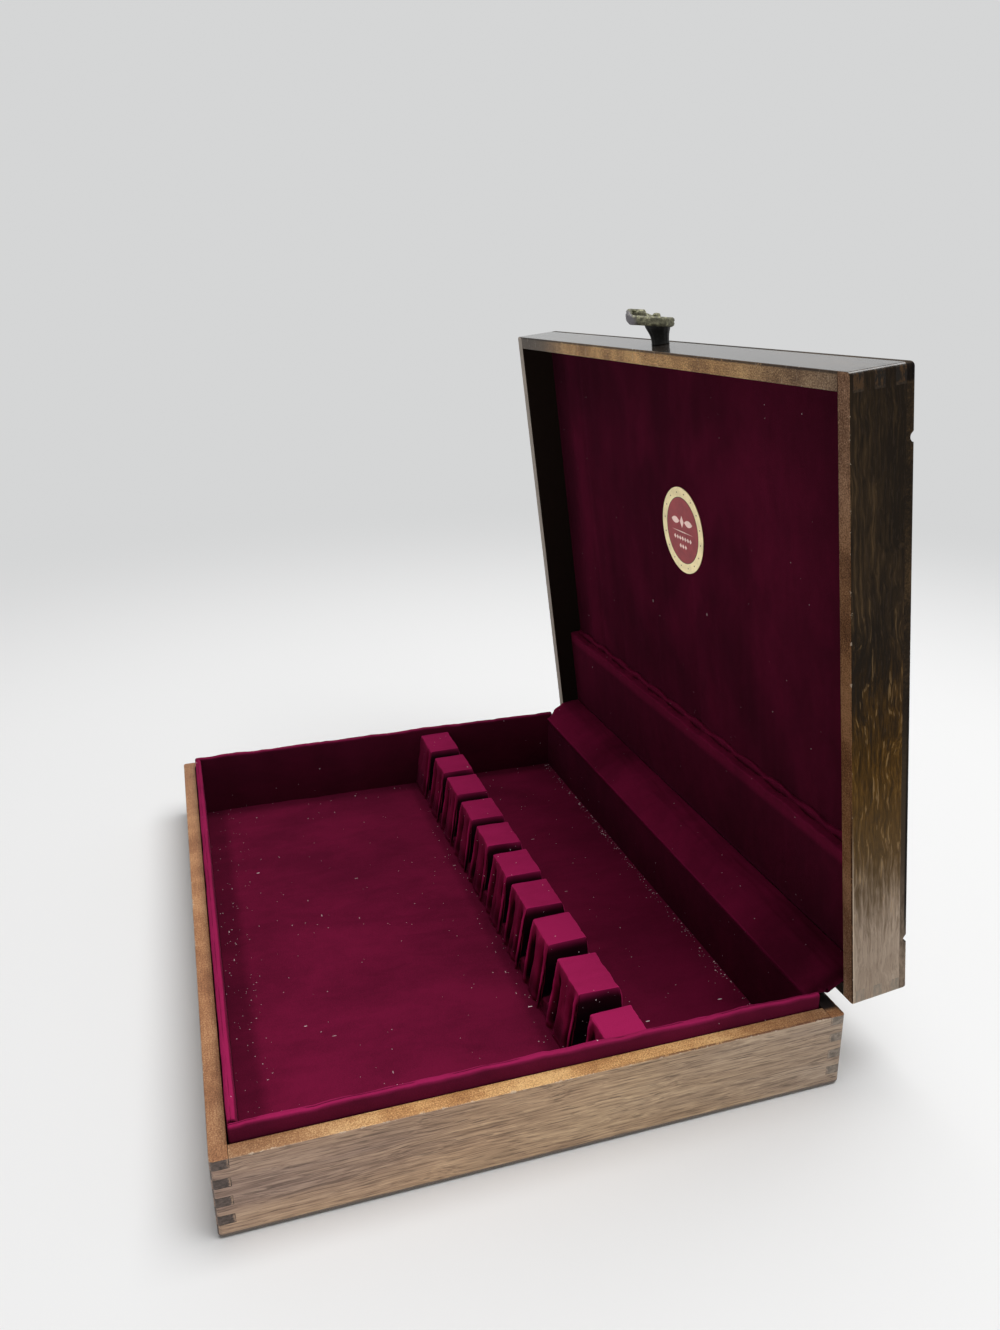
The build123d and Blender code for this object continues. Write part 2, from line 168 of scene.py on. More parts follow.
def startMaterial(name, **sockets):
    material = bpy.data.materials.new(name)
    material.use_nodes = True
    shader = openTree(material.node_tree).nodes["Principled BSDF"]
    for socket, value in sockets.items():
        feed(shader, socket.replace("_", " "), value)
    return material, shader


# Place and facing of the shaded point in millimetres, as if the lid were shut
def whereAndFacing(onLid):
    coords = put("ShaderNodeTexCoord")
    turn = {"Rotation": (openAngle if onLid else 0.0, 0, 0)}
    home = {"Location": swingShut.translation / mm if onLid else Vector(), "Scale": (1 / mm,) * 3}
    here = put("ShaderNodeMapping", {"Vector": coords.outputs["Object"], **home, **turn}).outputs[0]
    face = {"Vector": coords.outputs["Normal"], **turn}
    facing = put("ShaderNodeMapping", face, vector_type="NORMAL").outputs[0]
    return here, facing


def split(vector):
    return put("ShaderNodeSeparateXYZ", {0: vector}).outputs


def bumped(shader, height, depth):
    inputs = {"Height": height, "Distance": depth * mm}
    feed(shader, "Normal", put("ShaderNodeBump", inputs).outputs[0])


# Oiled walnut. A ramp runs from the dark to the light of the figure: (place, colour).
# A span is where something begins and where it is full, toward the hinge along Y.
walnut = {
    "satin": [(0.28, (0.19, 0.13, 0.09)), (0.48, (0.38, 0.272, 0.188)), (0.70, (0.56, 0.425, 0.298))],
    "satinHues": [
        (0.0, (0.80, 0.74, 0.80)),
        (0.30, (1.10, 0.98, 0.86)),
        (0.62, (1.08, 1.01, 0.88)),
        (1.0, (0.82, 0.84, 0.90)),
    ],
    "gloss": {"Roughness": 0.50, "Specular_IOR_Level": 0.30, "Coat_Weight": 0.06, "Coat_Roughness": 0.30},
    "satinFigure": 2.4,  # the base's figure is drawn out this much along the grain
    "pore": (0.06, 0.04, 0.03),
    "poreShare": (0.50, 0.20),
    "bump": (0.04, 0.05),  # on the base and on the lid
    "turned": (0.55, 0.85),  # a face turned this far counts as an end or as a rim
    "fingerPitch": 4.5,
    "fingerShift": (0.0, -2.5),  # the lid's fingers are set against the base's
    "lineWidth": (0.085, 0.03),  # in pitches
    "lineShare": (0.55, 0.02),  # how strong the lines are near the hinge, on the base and on the lid
    "raggedFoot": 2.6,  # the finish runs this far over the fingers' ends
    "jointLine": (0.02, 0.014, 0.011),
    "chip": (0.62, 0.50, 0.38),
    "chipShare": 0.55,
    "chipSize": (1.0, 0.9),
    "chipFrom": (0.50, 0.58),  # the higher, the fewer chips
    # a dark stain, darkened further as painted shade on the inner faces
    "stainedAndShadedInside": (0.014, 0.0086, 0.0062),
    "panelThickness": cornersOf("base_bottom_panel")[1].z,
}
lacquer = {  # nearly black on the lid, worn golden and then grey toward the hinge on its ends, the grey partly painted light from the pale floor below
    "black": [(0.38, (0.015, 0.0105, 0.007)), (0.56, (0.028, 0.018, 0.01)), (0.76, (0.066, 0.04, 0.019))],
    "golden": [(0.32, (0.03, 0.015, 0.003)), (0.52, (0.084, 0.04, 0.0068)), (0.76, (0.205, 0.112, 0.03))],
    "greyedAndFloorLit": [(0.34, (0.25, 0.186, 0.138)), (0.52, (0.355, 0.276, 0.21)), (0.68, (0.465, 0.375, 0.295))],
    "goldenSpan": (-40.0, 35.0),
    "greyedAndFloorLitSpan": (62.0, 116.0),
    "wobble": 70.0,  # how far the figure breaks up both spans
    "paleGold": (0.15, 0.098, 0.05),
    "paleSpan": (15.0, 90.0),
    "paleShare": 0.5,
    "fleck": (0.30, 0.19, 0.085),
    "fleckSpans": ((-70.0, 20.0), (120.0, 80.0)),
    "fleckShares": (0.46, 0.03),
    "lap": (0.006, 0.0045, 0.004),
    "lapHeights": (-2.3, -1.5),  # from the panel's outer face
    "lapSpan": (118.0, 96.0),
    "panelSpecular": 0.03,
    "gloss": {
        "Roughness": 0.46,
        "Specular_IOR_Level": 0.12,
        "Coat_Weight": 0.9,
        "Coat_Roughness": 0.10,
        "Coat_IOR": 1.72,
    },
}
endGrain = {  # tones of the fingers' ends, away from the hinge and beside it; on the lid the pale tones beside the hinge are partly painted light from the pale floor below
    "base": {
        "far": ((0.046, 0.033, 0.028), (0.132, 0.095, 0.078)),
        "beside": ((0.12, 0.096, 0.078), (0.27, 0.218, 0.172)),
        "span": (-60.0, 60.0),
        "dots": (0.45, 0.45, 0.8),
    },
    "lid": {
        "far": ((0.012, 0.0085, 0.0055), (0.058, 0.03, 0.012)),
        "beside": ((0.22, 0.19, 0.145), (0.33, 0.252, 0.195)),
        "span": (-60.0, 60.0),
        "dots": (0.45, 0.22, 0.8),
        "scorched": (0.35, 0.85),
    },
    "panel": {
        "far": ((0.006, 0.0045, 0.0035), (0.015, 0.0105, 0.0075)),
        "middle": (0.046, 0.032, 0.02),
        "middleSpan": (-30.0, 50.0),
        "beside": ((0.12, 0.088, 0.062), (0.26, 0.195, 0.145)),
        "span": (60.0, 130.0),
        "dots": (0.45, 0.22, 0.8),
    },
}
sawnRim = {  # sandy raw wood on the base, worn brown stain on the lid
    "raw": [(0.28, (0.25, 0.11, 0.042)), (0.50, (0.47, 0.238, 0.094)), (0.70, (0.72, 0.46, 0.215))],
    "stained": [(0.32, (0.08, 0.04, 0.02)), (0.50, (0.19, 0.108, 0.056)), (0.70, (0.36, 0.235, 0.135))],
    # the shade at both ends and in the middle, for each kind of wall
    "baseLong": ((0.72, 0.64, 0.68), (0.78, 0.66, 0.66)),
    "baseEnd": ((0.76, 0.76, 0.90), (1.22, 1.22, 1.12)),
    "lidLong": ((1.10, 1.20, 1.30), (2.60, 2.50, 1.80)),
    "lidEnd": ((1.40, 1.36, 1.50), (0.92, 0.74, 0.60)),
    "dirt": (0.11, 0.04, 0.02),
    "lidDirt": (0.02, 0.011, 0.007),
    "dirtShare": 0.85,
    "underStrip": (0.016, 0.01, 0.009),  # the back's rim goes nearly black under the hinge strip
    "underStripSpan": (90.0, 120.0),
    "grey": (0.088, 0.078, 0.066),  # the lid front's rim, at the left
    "greySpan": (-90.0, -155.0),
    "greyShare": 0.8,
    "rubbed": (0.52, 0.48, 0.42),  # painted highlight: the rim of the lid's left end is paler
    "paleLitShare": 0.75,
    "rimEdgeLightShare": 0.7,
}


def figureGroup():  # wavy streaks, fine fibres, pores and slow clouds; X runs along the grain
    tree = openTree(bpy.data.node_groups.new("walnutFigure", "ShaderNodeTree"))
    tree.interface.new_socket("Along", in_out="INPUT", socket_type="NodeSocketVector")
    for name in ("Streak", "Fibre", "Pore", "Cloud", "Fleck"):
        tree.interface.new_socket(name, in_out="OUTPUT", socket_type="NodeSocketFloat")
    straight = put("NodeGroupInput").outputs[0]
    sway = times(grainNoise(straight, (0.035, 0.05, 0.05), 2.0), 7.0)
    lift = put("ShaderNodeCombineXYZ", {1: sway, 2: sway}).outputs[0]
    along = put("ShaderNodeVectorMath", {0: straight, 1: lift}, operation="ADD").outputs[0]
    streak = grainNoise(along, (0.06, 0.80, 0.80), 4.0, 0.58, 0.15)
    fibre = grainNoise(along, (0.17, 2.4, 2.4), 3.0, 0.6, 0.12)
    pore = band(grainNoise(along, (0.20, 1.7, 1.7), 2.0, 0.5, 0.1), 0.58, 0.66)
    cloud = grainNoise(along, (0.01, 0.03, 0.03), 3.0, 0.5, 0.3)
    fleck = band(grainNoise(along, (0.06, 0.80, 0.80), 2.0, 0.5, 0.7), 0.61, 0.68)
    put("NodeGroupOutput", {0: streak, 1: fibre, 2: pore, 3: cloud, 4: fleck})
    return tree


figure = figureGroup()


def figured(here, alongY, drawnOut=1.0):  # drawnOut stretches the figure along the grain
    inputs = {"Vector": here, "Rotation": (0, 0, pi / 2 if alongY else 0)}
    inputs["Scale"] = (1, 1 / drawnOut, 1) if alongY else (1 / drawnOut, 1, 1)
    turned = put("ShaderNodeMapping", inputs).outputs[0]
    node = put("ShaderNodeGroup", node_tree=figure)
    feed(node, 0, turned)
    return node.outputs


def satinFace(y, grain):
    streak, fibre, pore, cloud, fleck = grain
    tone = ramp(mixed((streak, 0.75), (fibre, 0.80), (cloud, 0.40)), walnut["satin"])
    reach = scaled(minus(cloud, 0.5), 1.1, scaled(y, 1 / boxDepth, 0.5))
    return tint(1.0, tone, ramp(reach, walnut["satinHues"]), "MULTIPLY")


def lacquerFace(y, grain, isEnd):
    streak, fibre, pore, cloud, fleck = grain
    face = ramp(mixed((streak, 0.8), (fibre, 0.3), (cloud, 0.9)), lacquer["black"])
    if not isEnd:
        return face
    place = scaled(minus(streak, 0.5), lacquer["wobble"], y)
    golden = ramp(mixed((streak, 0.75), (fibre, 0.5), (cloud, 0.9)), lacquer["golden"])
    paler = times(band(y, *lacquer["paleSpan"]), lacquer["paleShare"])
    golden = tint(paler, golden, lacquer["paleGold"])
    # grey toward the hinge: partly the finish, partly painted light from the pale floor below
    greyedAndFloorLit = ramp(mixed((streak, 0.45), (fibre, 0.25), (cloud, 0.6)), lacquer["greyedAndFloorLit"])
    face = tint(band(place, *lacquer["goldenSpan"]), face, golden)
    face = tint(band(place, *lacquer["greyedAndFloorLitSpan"]), face, greyedAndFloorLit)
    begins, ends = [band(y, *span) for span in lacquer["fleckSpans"]]
    flecked = times(fleck, scaled(times(begins, ends), *lacquer["fleckShares"]))
    return tint(flecked, face, lacquer["fleck"])


def fingerEnds(kind, here, face, fromFoot):  # end grain on the corner joint's fingers
    x, y, z = split(here)
    look = endGrain[kind]
    dots = band(grainNoise(here, look["dots"], 4.0, 0.6), 0.30, 0.70)
    tone = tint(band(dots, *look["scorched"]) if "scorched" in look else dots, *look["far"])
    if kind == "panel":
        tone = tint(band(y, *look["middleSpan"]), tone, look["middle"])
    tone = tint(band(y, *look["span"]), tone, tint(dots, *look["beside"]))
    if kind == "panel":  # the lacquer laps over the panel's upper edge
        heights = [lidTop + height for height in lacquer["lapHeights"]]
        lap = times(band(z, *heights), band(y, *lacquer["lapSpan"]))
        tone = tint(lap, tone, lacquer["lap"])
    ragged = times(grainNoise(here, (0.5, 0.5, 0.9), 3.0), walnut["raggedFoot"])
    away = 0.8 if kind == "base" else band(y, 60.0, -60.0)
    hidden = times(band(minus(fromFoot, ragged), 0.1, -0.9), away)
    return tint(hidden, tone, face)  # the finish hides each finger's foot


def jointLines(onLid, here, isEnd, fromFoot):  # a broken dark line round each finger
    x, y, z = split(here)
    foot = walnut["panelThickness"] + walnut["fingerShift"][onLid]
    step = calc("DIVIDE", minus(z, foot), walnut["fingerPitch"])
    toLine = absolute(minus(step, calc("ROUND", step)))
    line = calc("MAXIMUM", band(toLine, *walnut["lineWidth"]), near(fromFoot, 0.0, 0.5))
    broken = band(grainNoise(here, (0.35, 0.35, 0.35), 2.0), 0.40, 0.60)
    line = times(line, times(isEnd, scaled(broken, 0.6, 0.15)))
    return times(line, scaled(band(y, 60.0, -60.0), 0.9, walnut["lineShare"][onLid]))


def rimFace(onLid, alongY, here, fibre):
    x, y, z = split(here)
    speckle = grainNoise(here, (1.5, 1.5, 1.5), 4.0, 0.75)
    patches = grainNoise(here, (0.045, 0.045, 0.045), 4.0, 0.6)
    tone = mixed((speckle, 1.25), (fibre, 0.35), (patches, 0.75))
    rim = ramp(tone, sawnRim["stained" if onLid else "raw"])
    along, halfLength = (y, boxDepth / 2) if alongY else (x, boxLength / 2)
    hues = sawnRim[("lid" if onLid else "base") + ("End" if alongY else "Long")]
    rim = tint(1.0, rim, tint(near(along, 0.0, halfLength), *hues), "MULTIPLY")
    if not alongY:
        inside = 1.0 if onLid else band(absolute(x), innerX + 3.5, innerX + 0.5)
        covered = times(band(y, *sawnRim["underStripSpan"]), inside)
        rim = tint(covered, rim, sawnRim["underStrip"])
    if onLid and not alongY:
        grey = times(band(x, *sawnRim["greySpan"]), sawnRim["greyShare"])
        rim = tint(grey, rim, sawnRim["grey"])
    # painted highlight on the rim of the lid's left end
    if onLid and alongY:
        rubbed = times(band(x, 0.0, -10.0), sawnRim["paleLitShare"])
        rim = tint(rubbed, rim, sawnRim["rubbed"])
    return rim


def walnutFinish(name, onLid, alongY, panel=False):
    gloss = dict(lacquer["gloss"] if onLid else walnut["gloss"])
    if onLid and (alongY or panel):
        gloss["Specular_IOR_Level"] = lacquer["panelSpecular"]
    material, shader = startMaterial(name, **gloss)
    here, facing = whereAndFacing(onLid)
    x, y, z = split(here)
    nx, ny, nz = split(facing)
    grain = figured(here, alongY, 1.0 if onLid else walnut["satinFigure"])
    streak, fibre, pore, cloud, fleck = grain
    side, inner, outerHalf = (x, innerX, boxLength / 2) if alongY else (y, innerY, boxDepth / 2)
    fromFoot = minus(absolute(side), inner)

    outer = lacquerFace(y, grain, alongY) if onLid else satinFace(y, grain)
    outer = tint(times(pore, walnut["poreShare"][onLid]), outer, walnut["pore"])
    kind = "panel" if panel else "lid" if onLid else "base"
    isEnd = band(absolute(ny if alongY else nx), *walnut["turned"])
    outer = tint(isEnd, outer, fingerEnds(kind, here, outer, fromFoot))
    outer = tint(jointLines(onLid, here, isEnd, fromFoot), outer, walnut["jointLine"])
    sawn = band(times(nz, -1.0 if onLid else 1.0), *walnut["turned"])
    if not panel:
        outer = tint(sawn, outer, rimFace(onLid, alongY, here, fibre))

    # Chips along the rim's outer edge, where the saw and years of use broke the finish
    toRim = absolute(minus(z, lidRim if onLid else rimHeight))
    toFace = absolute(minus(absolute(side), outerHalf))
    chance = grainNoise(here, (0.30, 0.30, 0.30), 4.0, 0.7)
    reach = times(band(chance, walnut["chipFrom"][onLid], 0.72), walnut["chipSize"][onLid])
    chips = band(minus(calc("MAXIMUM", toRim, toFace), reach), 0.12, -0.12)
    chips = times(chips, band(reach, 0.02, 0.12))
    if not panel:
        dirty = times(band(y, 10.0, 60.0), band(chance, 0.32, 0.50))
        if onLid and not alongY:
            dirty = band(chance, 0.26, 0.42)
            scratch = band(grainNoise(here, (0.75, 0.11, 0.11), 2.0, 0.5), 0.66, 0.72)
            chips = calc("MAXIMUM", chips, times(scratch, sawn))
        dirty = times(dirty, times(sawn, band(toFace, 1.5, 0.7)))
        outer = tint(times(dirty, sawnRim["dirtShare"]), outer, sawnRim["lidDirt" if onLid else "dirt"])
    if onLid and alongY:  # painted highlight: a pale line beside the rim, toward the hinge
        rimEdgeLight = times(band(toRim, 0.85, 0.35), minus(1.0, sawn))
        rimEdgeLight = times(rimEdgeLight, band(y, 40.0, 90.0))
        outer = tint(times(rimEdgeLight, sawnRim["rimEdgeLightShare"]), outer, walnut["chip"])
    if not panel:
        outer = tint(times(chips, walnut["chipShare"]), outer, walnut["chip"])
        # inner faces: dark stain and painted shade
        facesIn = times(nx if alongY else ny, calc("SIGN", side))
        outer = tint(band(times(facesIn, -1.0), 0.4, 0.8), outer, walnut["stainedAndShadedInside"])
    feed(shader, "Base Color", outer)
    if onLid:  # only the polished faces carry the lacquer's gloss
        polished = band(absolute(nz if panel else ny), 0.6, 0.9)
        feed(shader, "Coat Weight", times(polished, gloss["Coat_Weight"]))

    height = mixed((fibre, 1.0), (streak, 0.6), (pore, -0.7), (chips, -0.8))
    bumped(shader, height, walnut["bump"][onLid])
    return material


# Velvet. Three tones of the pile, the palest one painted light, and the dust and lint that lie on it.
velvet = {
    "pile": (0.185, 0.0068, 0.04),
    "crushed": (0.118, 0.0045, 0.026),
    # the lit tone, painted where light falls on upper faces and edges
    "litPile": (0.33, 0.012, 0.082),
    "gloss": {
        "Roughness": 1.0,
        "Specular_IOR_Level": 0.0,
        "Sheen_Weight": 0.14,
        "Sheen_Roughness": 0.30,
        "Sheen_Tint": (1.0, 0.12, 0.36),
    },
    # patterns: size along each axis, detail, roughness and distortion
    "nap": ((0.02, 0.014, 0.02), 4.0, 0.55, 0.6),
    "brush": ((0.10, 0.045, 0.10), 4.0, 0.65, 0.5),
    "fuzz": ((1.7, 1.7, 1.7), 3.0, 0.7),
    "stroke": ((0.011, 0.0065, 0.011), 3.0, 0.5, 0.8),
    "sweepings": ((0.05, 0.05, 0.05), 3.0),
    "edgeHighlightLift": 1.15,  # painted edge highlights against the lit tone
    "hollowShadeDepth": 0.25,  # painted shade in hollows, against the crushed tone
    "hollowSpan": (0.499, 0.48),
    "bump": 0.22,
    "lint": (0.95, 0.80, 0.82),
    # size of the pattern, its stretch, and the share of cells that hold a speck
    "lintKinds": ((1.3, (1, 1, 1), 0.11), (2.0, (0.42, 1.5, 1.5), 0.018), (2.2, (1.5, 0.42, 1.5), 0.018)),
    "lintRadius": (0.15, 0.10),  # spread and least, in cells
    "lintShine": (0.70, 0.30),
    "lintBias": 1.4,  # above 1, more of the specks are dim
    "crumbSize": 1.5,
    "crumbShare": 0.9,
    "crumbRadius": (0.22, 0.10),
    "crumbShine": (0.75, 0.25),
}
plainVelvet = {
    "dust": 0.1,  # how much of the lint lands on this cloth
    "dustLines": (),  # more lint near a place along an axis: (axis, place, reach, how much)
    "seams": (),  # crumbs of dust along a seam, in the same form
    # the tone's strength: above 1 a painted lit copy of the cloth, below 1 a painted shaded copy
    "shade": 1.0,
    "patches": 0.0,  # broad paler and darker areas where the pile was stroked
    "litTop": 0.0,  # painted light: the upper faces are turned toward the lit tone
    "litTopSpan": (0.35, 0.85),  # how far up a face must look
    "litTopFrom": -1000.0,  # and only above this height
    # painted highlight along convex edges
    "edges": 0.5,
    "edgeSpan": (0.52, 0.60),  # the pointiness at which a painted edge highlight begins and is full
    # painted shade in concave hollows
    "hollowShade": 0.0,
    "turned": (1.0, 1.0),  # painted shade on faces turned along X and along Y; a share above 1 paints light there instead
    "shaded": (),  # painted shade near a place along an axis, painted light where the share is above 1: (axis, place, reach, share of the colour left)
    "flareHaze": (0.0022, 0.0022, 0.0026),  # painted flare haze, added evenly to the colour
    "endLightFalloff": (1.0, 1.0),  # painted light falloff along X: the share of the colour at the left end and at the right end
}


def voronoiDots(vector, scale, radius, shine, bias=1.0):  # each cell's chance, and its dot
    cells = put("ShaderNodeTexVoronoi", {"Vector": vector, "Scale": scale}, feature="F1")
    luck = put("ShaderNodeSeparateColor", {0: cells.outputs["Color"]}).outputs
    dot = calc("LESS_THAN", cells.outputs["Distance"], scaled(luck[1], *radius))
    bright = scaled(calc("POWER", luck[2], bias), *shine)
    return luck[0], times(dot, bright)


def lintSpecks(here, crowd):  # a few cells carry a speck or a short thread
    specks = 0.0
    for size, stretch, share in velvet["lintKinds"]:
        spread = {0: here, 1: tuple(s / size for s in stretch)}
        place = put("ShaderNodeVectorMath", spread, operation="MULTIPLY").outputs[0]
        look = [velvet[key] for key in ("lintRadius", "lintShine", "lintBias")]
        chance, dot = voronoiDots(place, 1.0, *look)
        chosen = calc("GREATER_THAN", times(crowd, share), chance)
        specks = calc("MAXIMUM", specks, times(dot, chosen))
    return specks


def seamCrumbs(here, axes, seams, specks):  # crumbs of dust swept into a seam
    look = [velvet[key] for key in ("crumbRadius", "crumbShine")]
    chance, dot = voronoiDots(here, 1 / velvet["crumbSize"], *look)
    patchy = band(grainNoise(here, *velvet["sweepings"]), 0.36, 0.60)
    for axis, spot, reach, much in seams:
        close = times(near(axes[axis], spot, reach), patchy)
        lying = calc("GREATER_THAN", times(close, velvet["crumbShare"] * much), chance)
        specks = calc("MAXIMUM", specks, times(lying, dot))
    return specks


def pileColour(look, lay, nz, z):  # from crushed to the painted lit tone, with painted highlights on edges and painted shade in hollows
    pile, crushed, litPile = [toned(velvet[key], look["shade"]) for key in ("pile", "crushed", "litPile")]
    cloth = ramp(lay, [(0.36, crushed), (0.66, pile)])
    # painted light on the faces that look up
    if look["litTop"]:
        halfway = tuple((a + b) / 2 for a, b in zip(pile, litPile))
        lifted = ramp(lay, [(0.30, halfway), (0.60, litPile)])
        high = band(z, look["litTopFrom"] - 3, look["litTopFrom"])
        upper = times(band(nz, *look["litTopSpan"]), high)
        cloth = tint(times(upper, look["litTop"]), cloth, lifted)
    # painted highlight on convex edges and painted shade in hollows, found by pointiness
    crest = put("ShaderNodeNewGeometry").outputs["Pointiness"]
    worn = times(band(crest, *look["edgeSpan"]), look["edges"])
    cloth = tint(worn, cloth, toned(litPile, velvet["edgeHighlightLift"]))
    hollow = times(band(crest, *velvet["hollowSpan"]), look["hollowShade"])
    return tint(hollow, cloth, toned(crushed, velvet["hollowShadeDepth"]))


def pileDepth(look, here, facing):  # the share of the colour that is left at each place: random patches, then painted shade and light by facing, near given places and from end to end
    axes, depth = split(here), 1.0
    if look["patches"]:
        stroked = band(grainNoise(here, *velvet["stroke"]), 0.34, 0.62)
        depth = scaled(stroked, look["patches"], 1 - 0.45 * look["patches"])
    # painted shade and light by which way a face is turned
    for normal, share in zip(split(facing), look["turned"]):
        upright = band(absolute(normal), 0.50, 0.85)
        depth = times(depth, scaled(upright, share - 1.0, 1.0))
    # painted shade near given places, painted light where the share is above 1
    for axis, spot, reach, share in look["shaded"]:
        close = near(axes[axis], spot, reach)
        depth = times(depth, scaled(close, share - 1.0, 1.0))
    # painted light falling off from the right-hand end to the left
    left, right = look["endLightFalloff"]
    ends = {"Value": axes[0], "From Min": -innerX, "From Max": innerX, "To Min": left, "To Max": right}
    return times(depth, put("ShaderNodeMapRange", ends).outputs[0])


def velvetFinish(name, onLid, **changes):
    look = {**plainVelvet, **changes}
    material, shader = startMaterial(name, **velvet["gloss"])
    here, facing = whereAndFacing(onLid)
    axes = split(here)
    nap, brush, fuzz = [grainNoise(here, *velvet[key]) for key in ("nap", "brush", "fuzz")]
    lay = mixed((nap, 0.7), (brush, 0.4), (fuzz, 0.45))
    cloth = pileColour(look, lay, split(facing)[2], axes[2])
    inputs = {0: cloth, "Scale": pileDepth(look, here, facing)}
    cloth = put("ShaderNodeVectorMath", inputs, operation="SCALE").outputs[0]
    # painted flare haze, added evenly
    cloth = tint(1.0, cloth, look["flareHaze"], "ADD")

    crowd = look["dust"]
    for axis, spot, reach, much in look["dustLines"]:
        crowd = calc("ADD", crowd, times(near(axes[axis], spot, reach), much))
    specks = lintSpecks(here, crowd)
    if look["seams"]:
        specks = seamCrumbs(here, axes, look["seams"], specks)
    feed(shader, "Base Color", tint(specks, cloth, velvet["lint"]))
    bumped(shader, mixed((fuzz, 1.0), (brush, 0.8)), velvet["bump"])
    return material


# Mesh helpers
def finishMesh(name, bm, material, body, onLid, sharpAngle=None):
    bmesh.ops.recalc_face_normals(bm, faces=bm.faces)
    mesh = bpy.data.meshes.new(name)
    bm.to_mesh(mesh)
    bm.free()
    mesh.transform(Matrix.Scale(mm, 4))
    if onLid:
        mesh.transform(swingOpen)
    mesh.shade_smooth()
    if sharpAngle:
        mesh.set_sharp_from_angle(angle=radians(sharpAngle))
    piece = bpy.data.objects.new(name, mesh)
    bpy.context.scene.collection.objects.link(piece)
    mesh.materials.append(material)
    if body:
        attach(piece, body)
    return piece


def loft(name, rings, material, body, onLid=False, lump=None):
    bm = bmesh.new()
    rows = [[bm.verts.new(point) for point in ring] for ring in rings]
    for row, after in zip(rows, rows[1:]):
        for k in range(len(row)):
            bm.faces.new((row[k], row[k - 1], after[k - 1], after[k]))
    bm.faces.new(rows[0])
    bm.faces.new(reversed(rows[-1]))
    bmesh.ops.recalc_face_normals(bm, faces=bm.faces)
    if lump:
        bm.normal_update()
        moved = [(vertex, vertex.co + lump(vertex.co, vertex.normal)) for vertex in bm.verts]
        for vertex, place in moved:
            vertex.co = place
    return finishMesh(name, bm, material, body, onLid)


def smooth(t):
    t = min(max(t, 0.0), 1.0)
    return t * t * (3 - 2 * t)


def bell(distance, width):
    return exp(-(distance / width) ** 2)


def wave(point, sizes, seed=0.0):  # soft noise about 0, with a size along each axis in millimetres
    return noise.fractal(Vector([p / s + seed for p, s in zip(point, sizes)]), 0.6, 2.0, 3)


def evenly(count):  # from 0 to 1 in this many steps
    return [k / count for k in range(count + 1)]


def oval(x, y, radiusX, radiusY, count):
    turns = [2 * pi * k / count for k in range(count)]
    return [(x + radiusX * cos(turn), y + radiusY * sin(turn)) for turn in turns]


def stations(start, end, step, roundEnd):  # (place, inset) along a board, with its ends rounded over
    turns = [k * pi / 8 for k in range(5)]
    first = [(start + roundEnd * (1 - cos(a)), roundEnd * (1 - sin(a))) for a in turns]
    straight = end - start - 2 * roundEnd
    count = max(2, round(straight / step))
    middle = [(start + roundEnd + straight * k / count, 0.0) for k in range(1, count)]
    return first + middle + [(start + end - place, inset) for place, inset in reversed(first)]


def roundedOutline(uSpan, vSpan, inset, footRadius, topRadius, counts):
    (u0, u1), (v0, v1) = [(span[0] + inset, span[1] - inset) for span in (uSpan, vSpan)]
    foot, top = [max(radius - inset, 0.05) for radius in (footRadius, topRadius)]
    arcs = [
        (u1 - foot, v0 + foot, foot, -pi / 2),
        (u1 - top, v1 - top, top, 0.0),
        (u0 + top, v1 - top, top, pi / 2),
        (u0 + foot, v0 + foot, foot, pi),
    ]
    points = []
    for k, (u, v, radius, start) in enumerate(arcs):
        turns = [start + a * pi / 10 for a in range(6)]
        points += [(u + radius * cos(turn), v + radius * sin(turn)) for turn in turns]
        nextU, nextV, nextRadius, angle = arcs[(k + 1) % 4]
        goal = (nextU + nextRadius * cos(angle), nextV + nextRadius * sin(angle))
        last, count = points[-1], counts[(k + 1) % 2]
        points += [tuple(a + (b - a) * n / count for a, b in zip(last, goal)) for n in range(1, count)]
    return points


def padVelvet(piece, fill, *nodes):  # hides these solids, which the piece stands in for
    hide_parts(*nodes)


# A cloth-covered board that fills its solid's box, swept along one axis
def coveredBoard(node, material, axis, step, rounds, lump, onLid=False, trim=(0, 0, 0)):
    low, high = cornersOf(node, onLid)
    low, high = low + Vector(trim), high - Vector(trim)
    others = [k for k in range(3) if k != axis]
    spans = [(low[k], high[k]) for k in others]
    counts = [max(1, round((span[1] - span[0]) / step)) for span in spans]
    rings = []
    for place, inset in stations(low[axis], high[axis], step, rounds["end"]):
        ring = []
        for u, v in roundedOutline(*spans, inset, rounds["foot"], rounds["top"], counts[::-1]):
            point = Vector((0, 0, 0))
            point[axis], point[others[0]], point[others[1]] = place, u, v
            ring.append(point)
        rings.append(ring)
    padVelvet(loft(node + "_cloth", rings, material, "lid" if onLid else "base", onLid, lump), 1.0, node)


print("helpers ready")


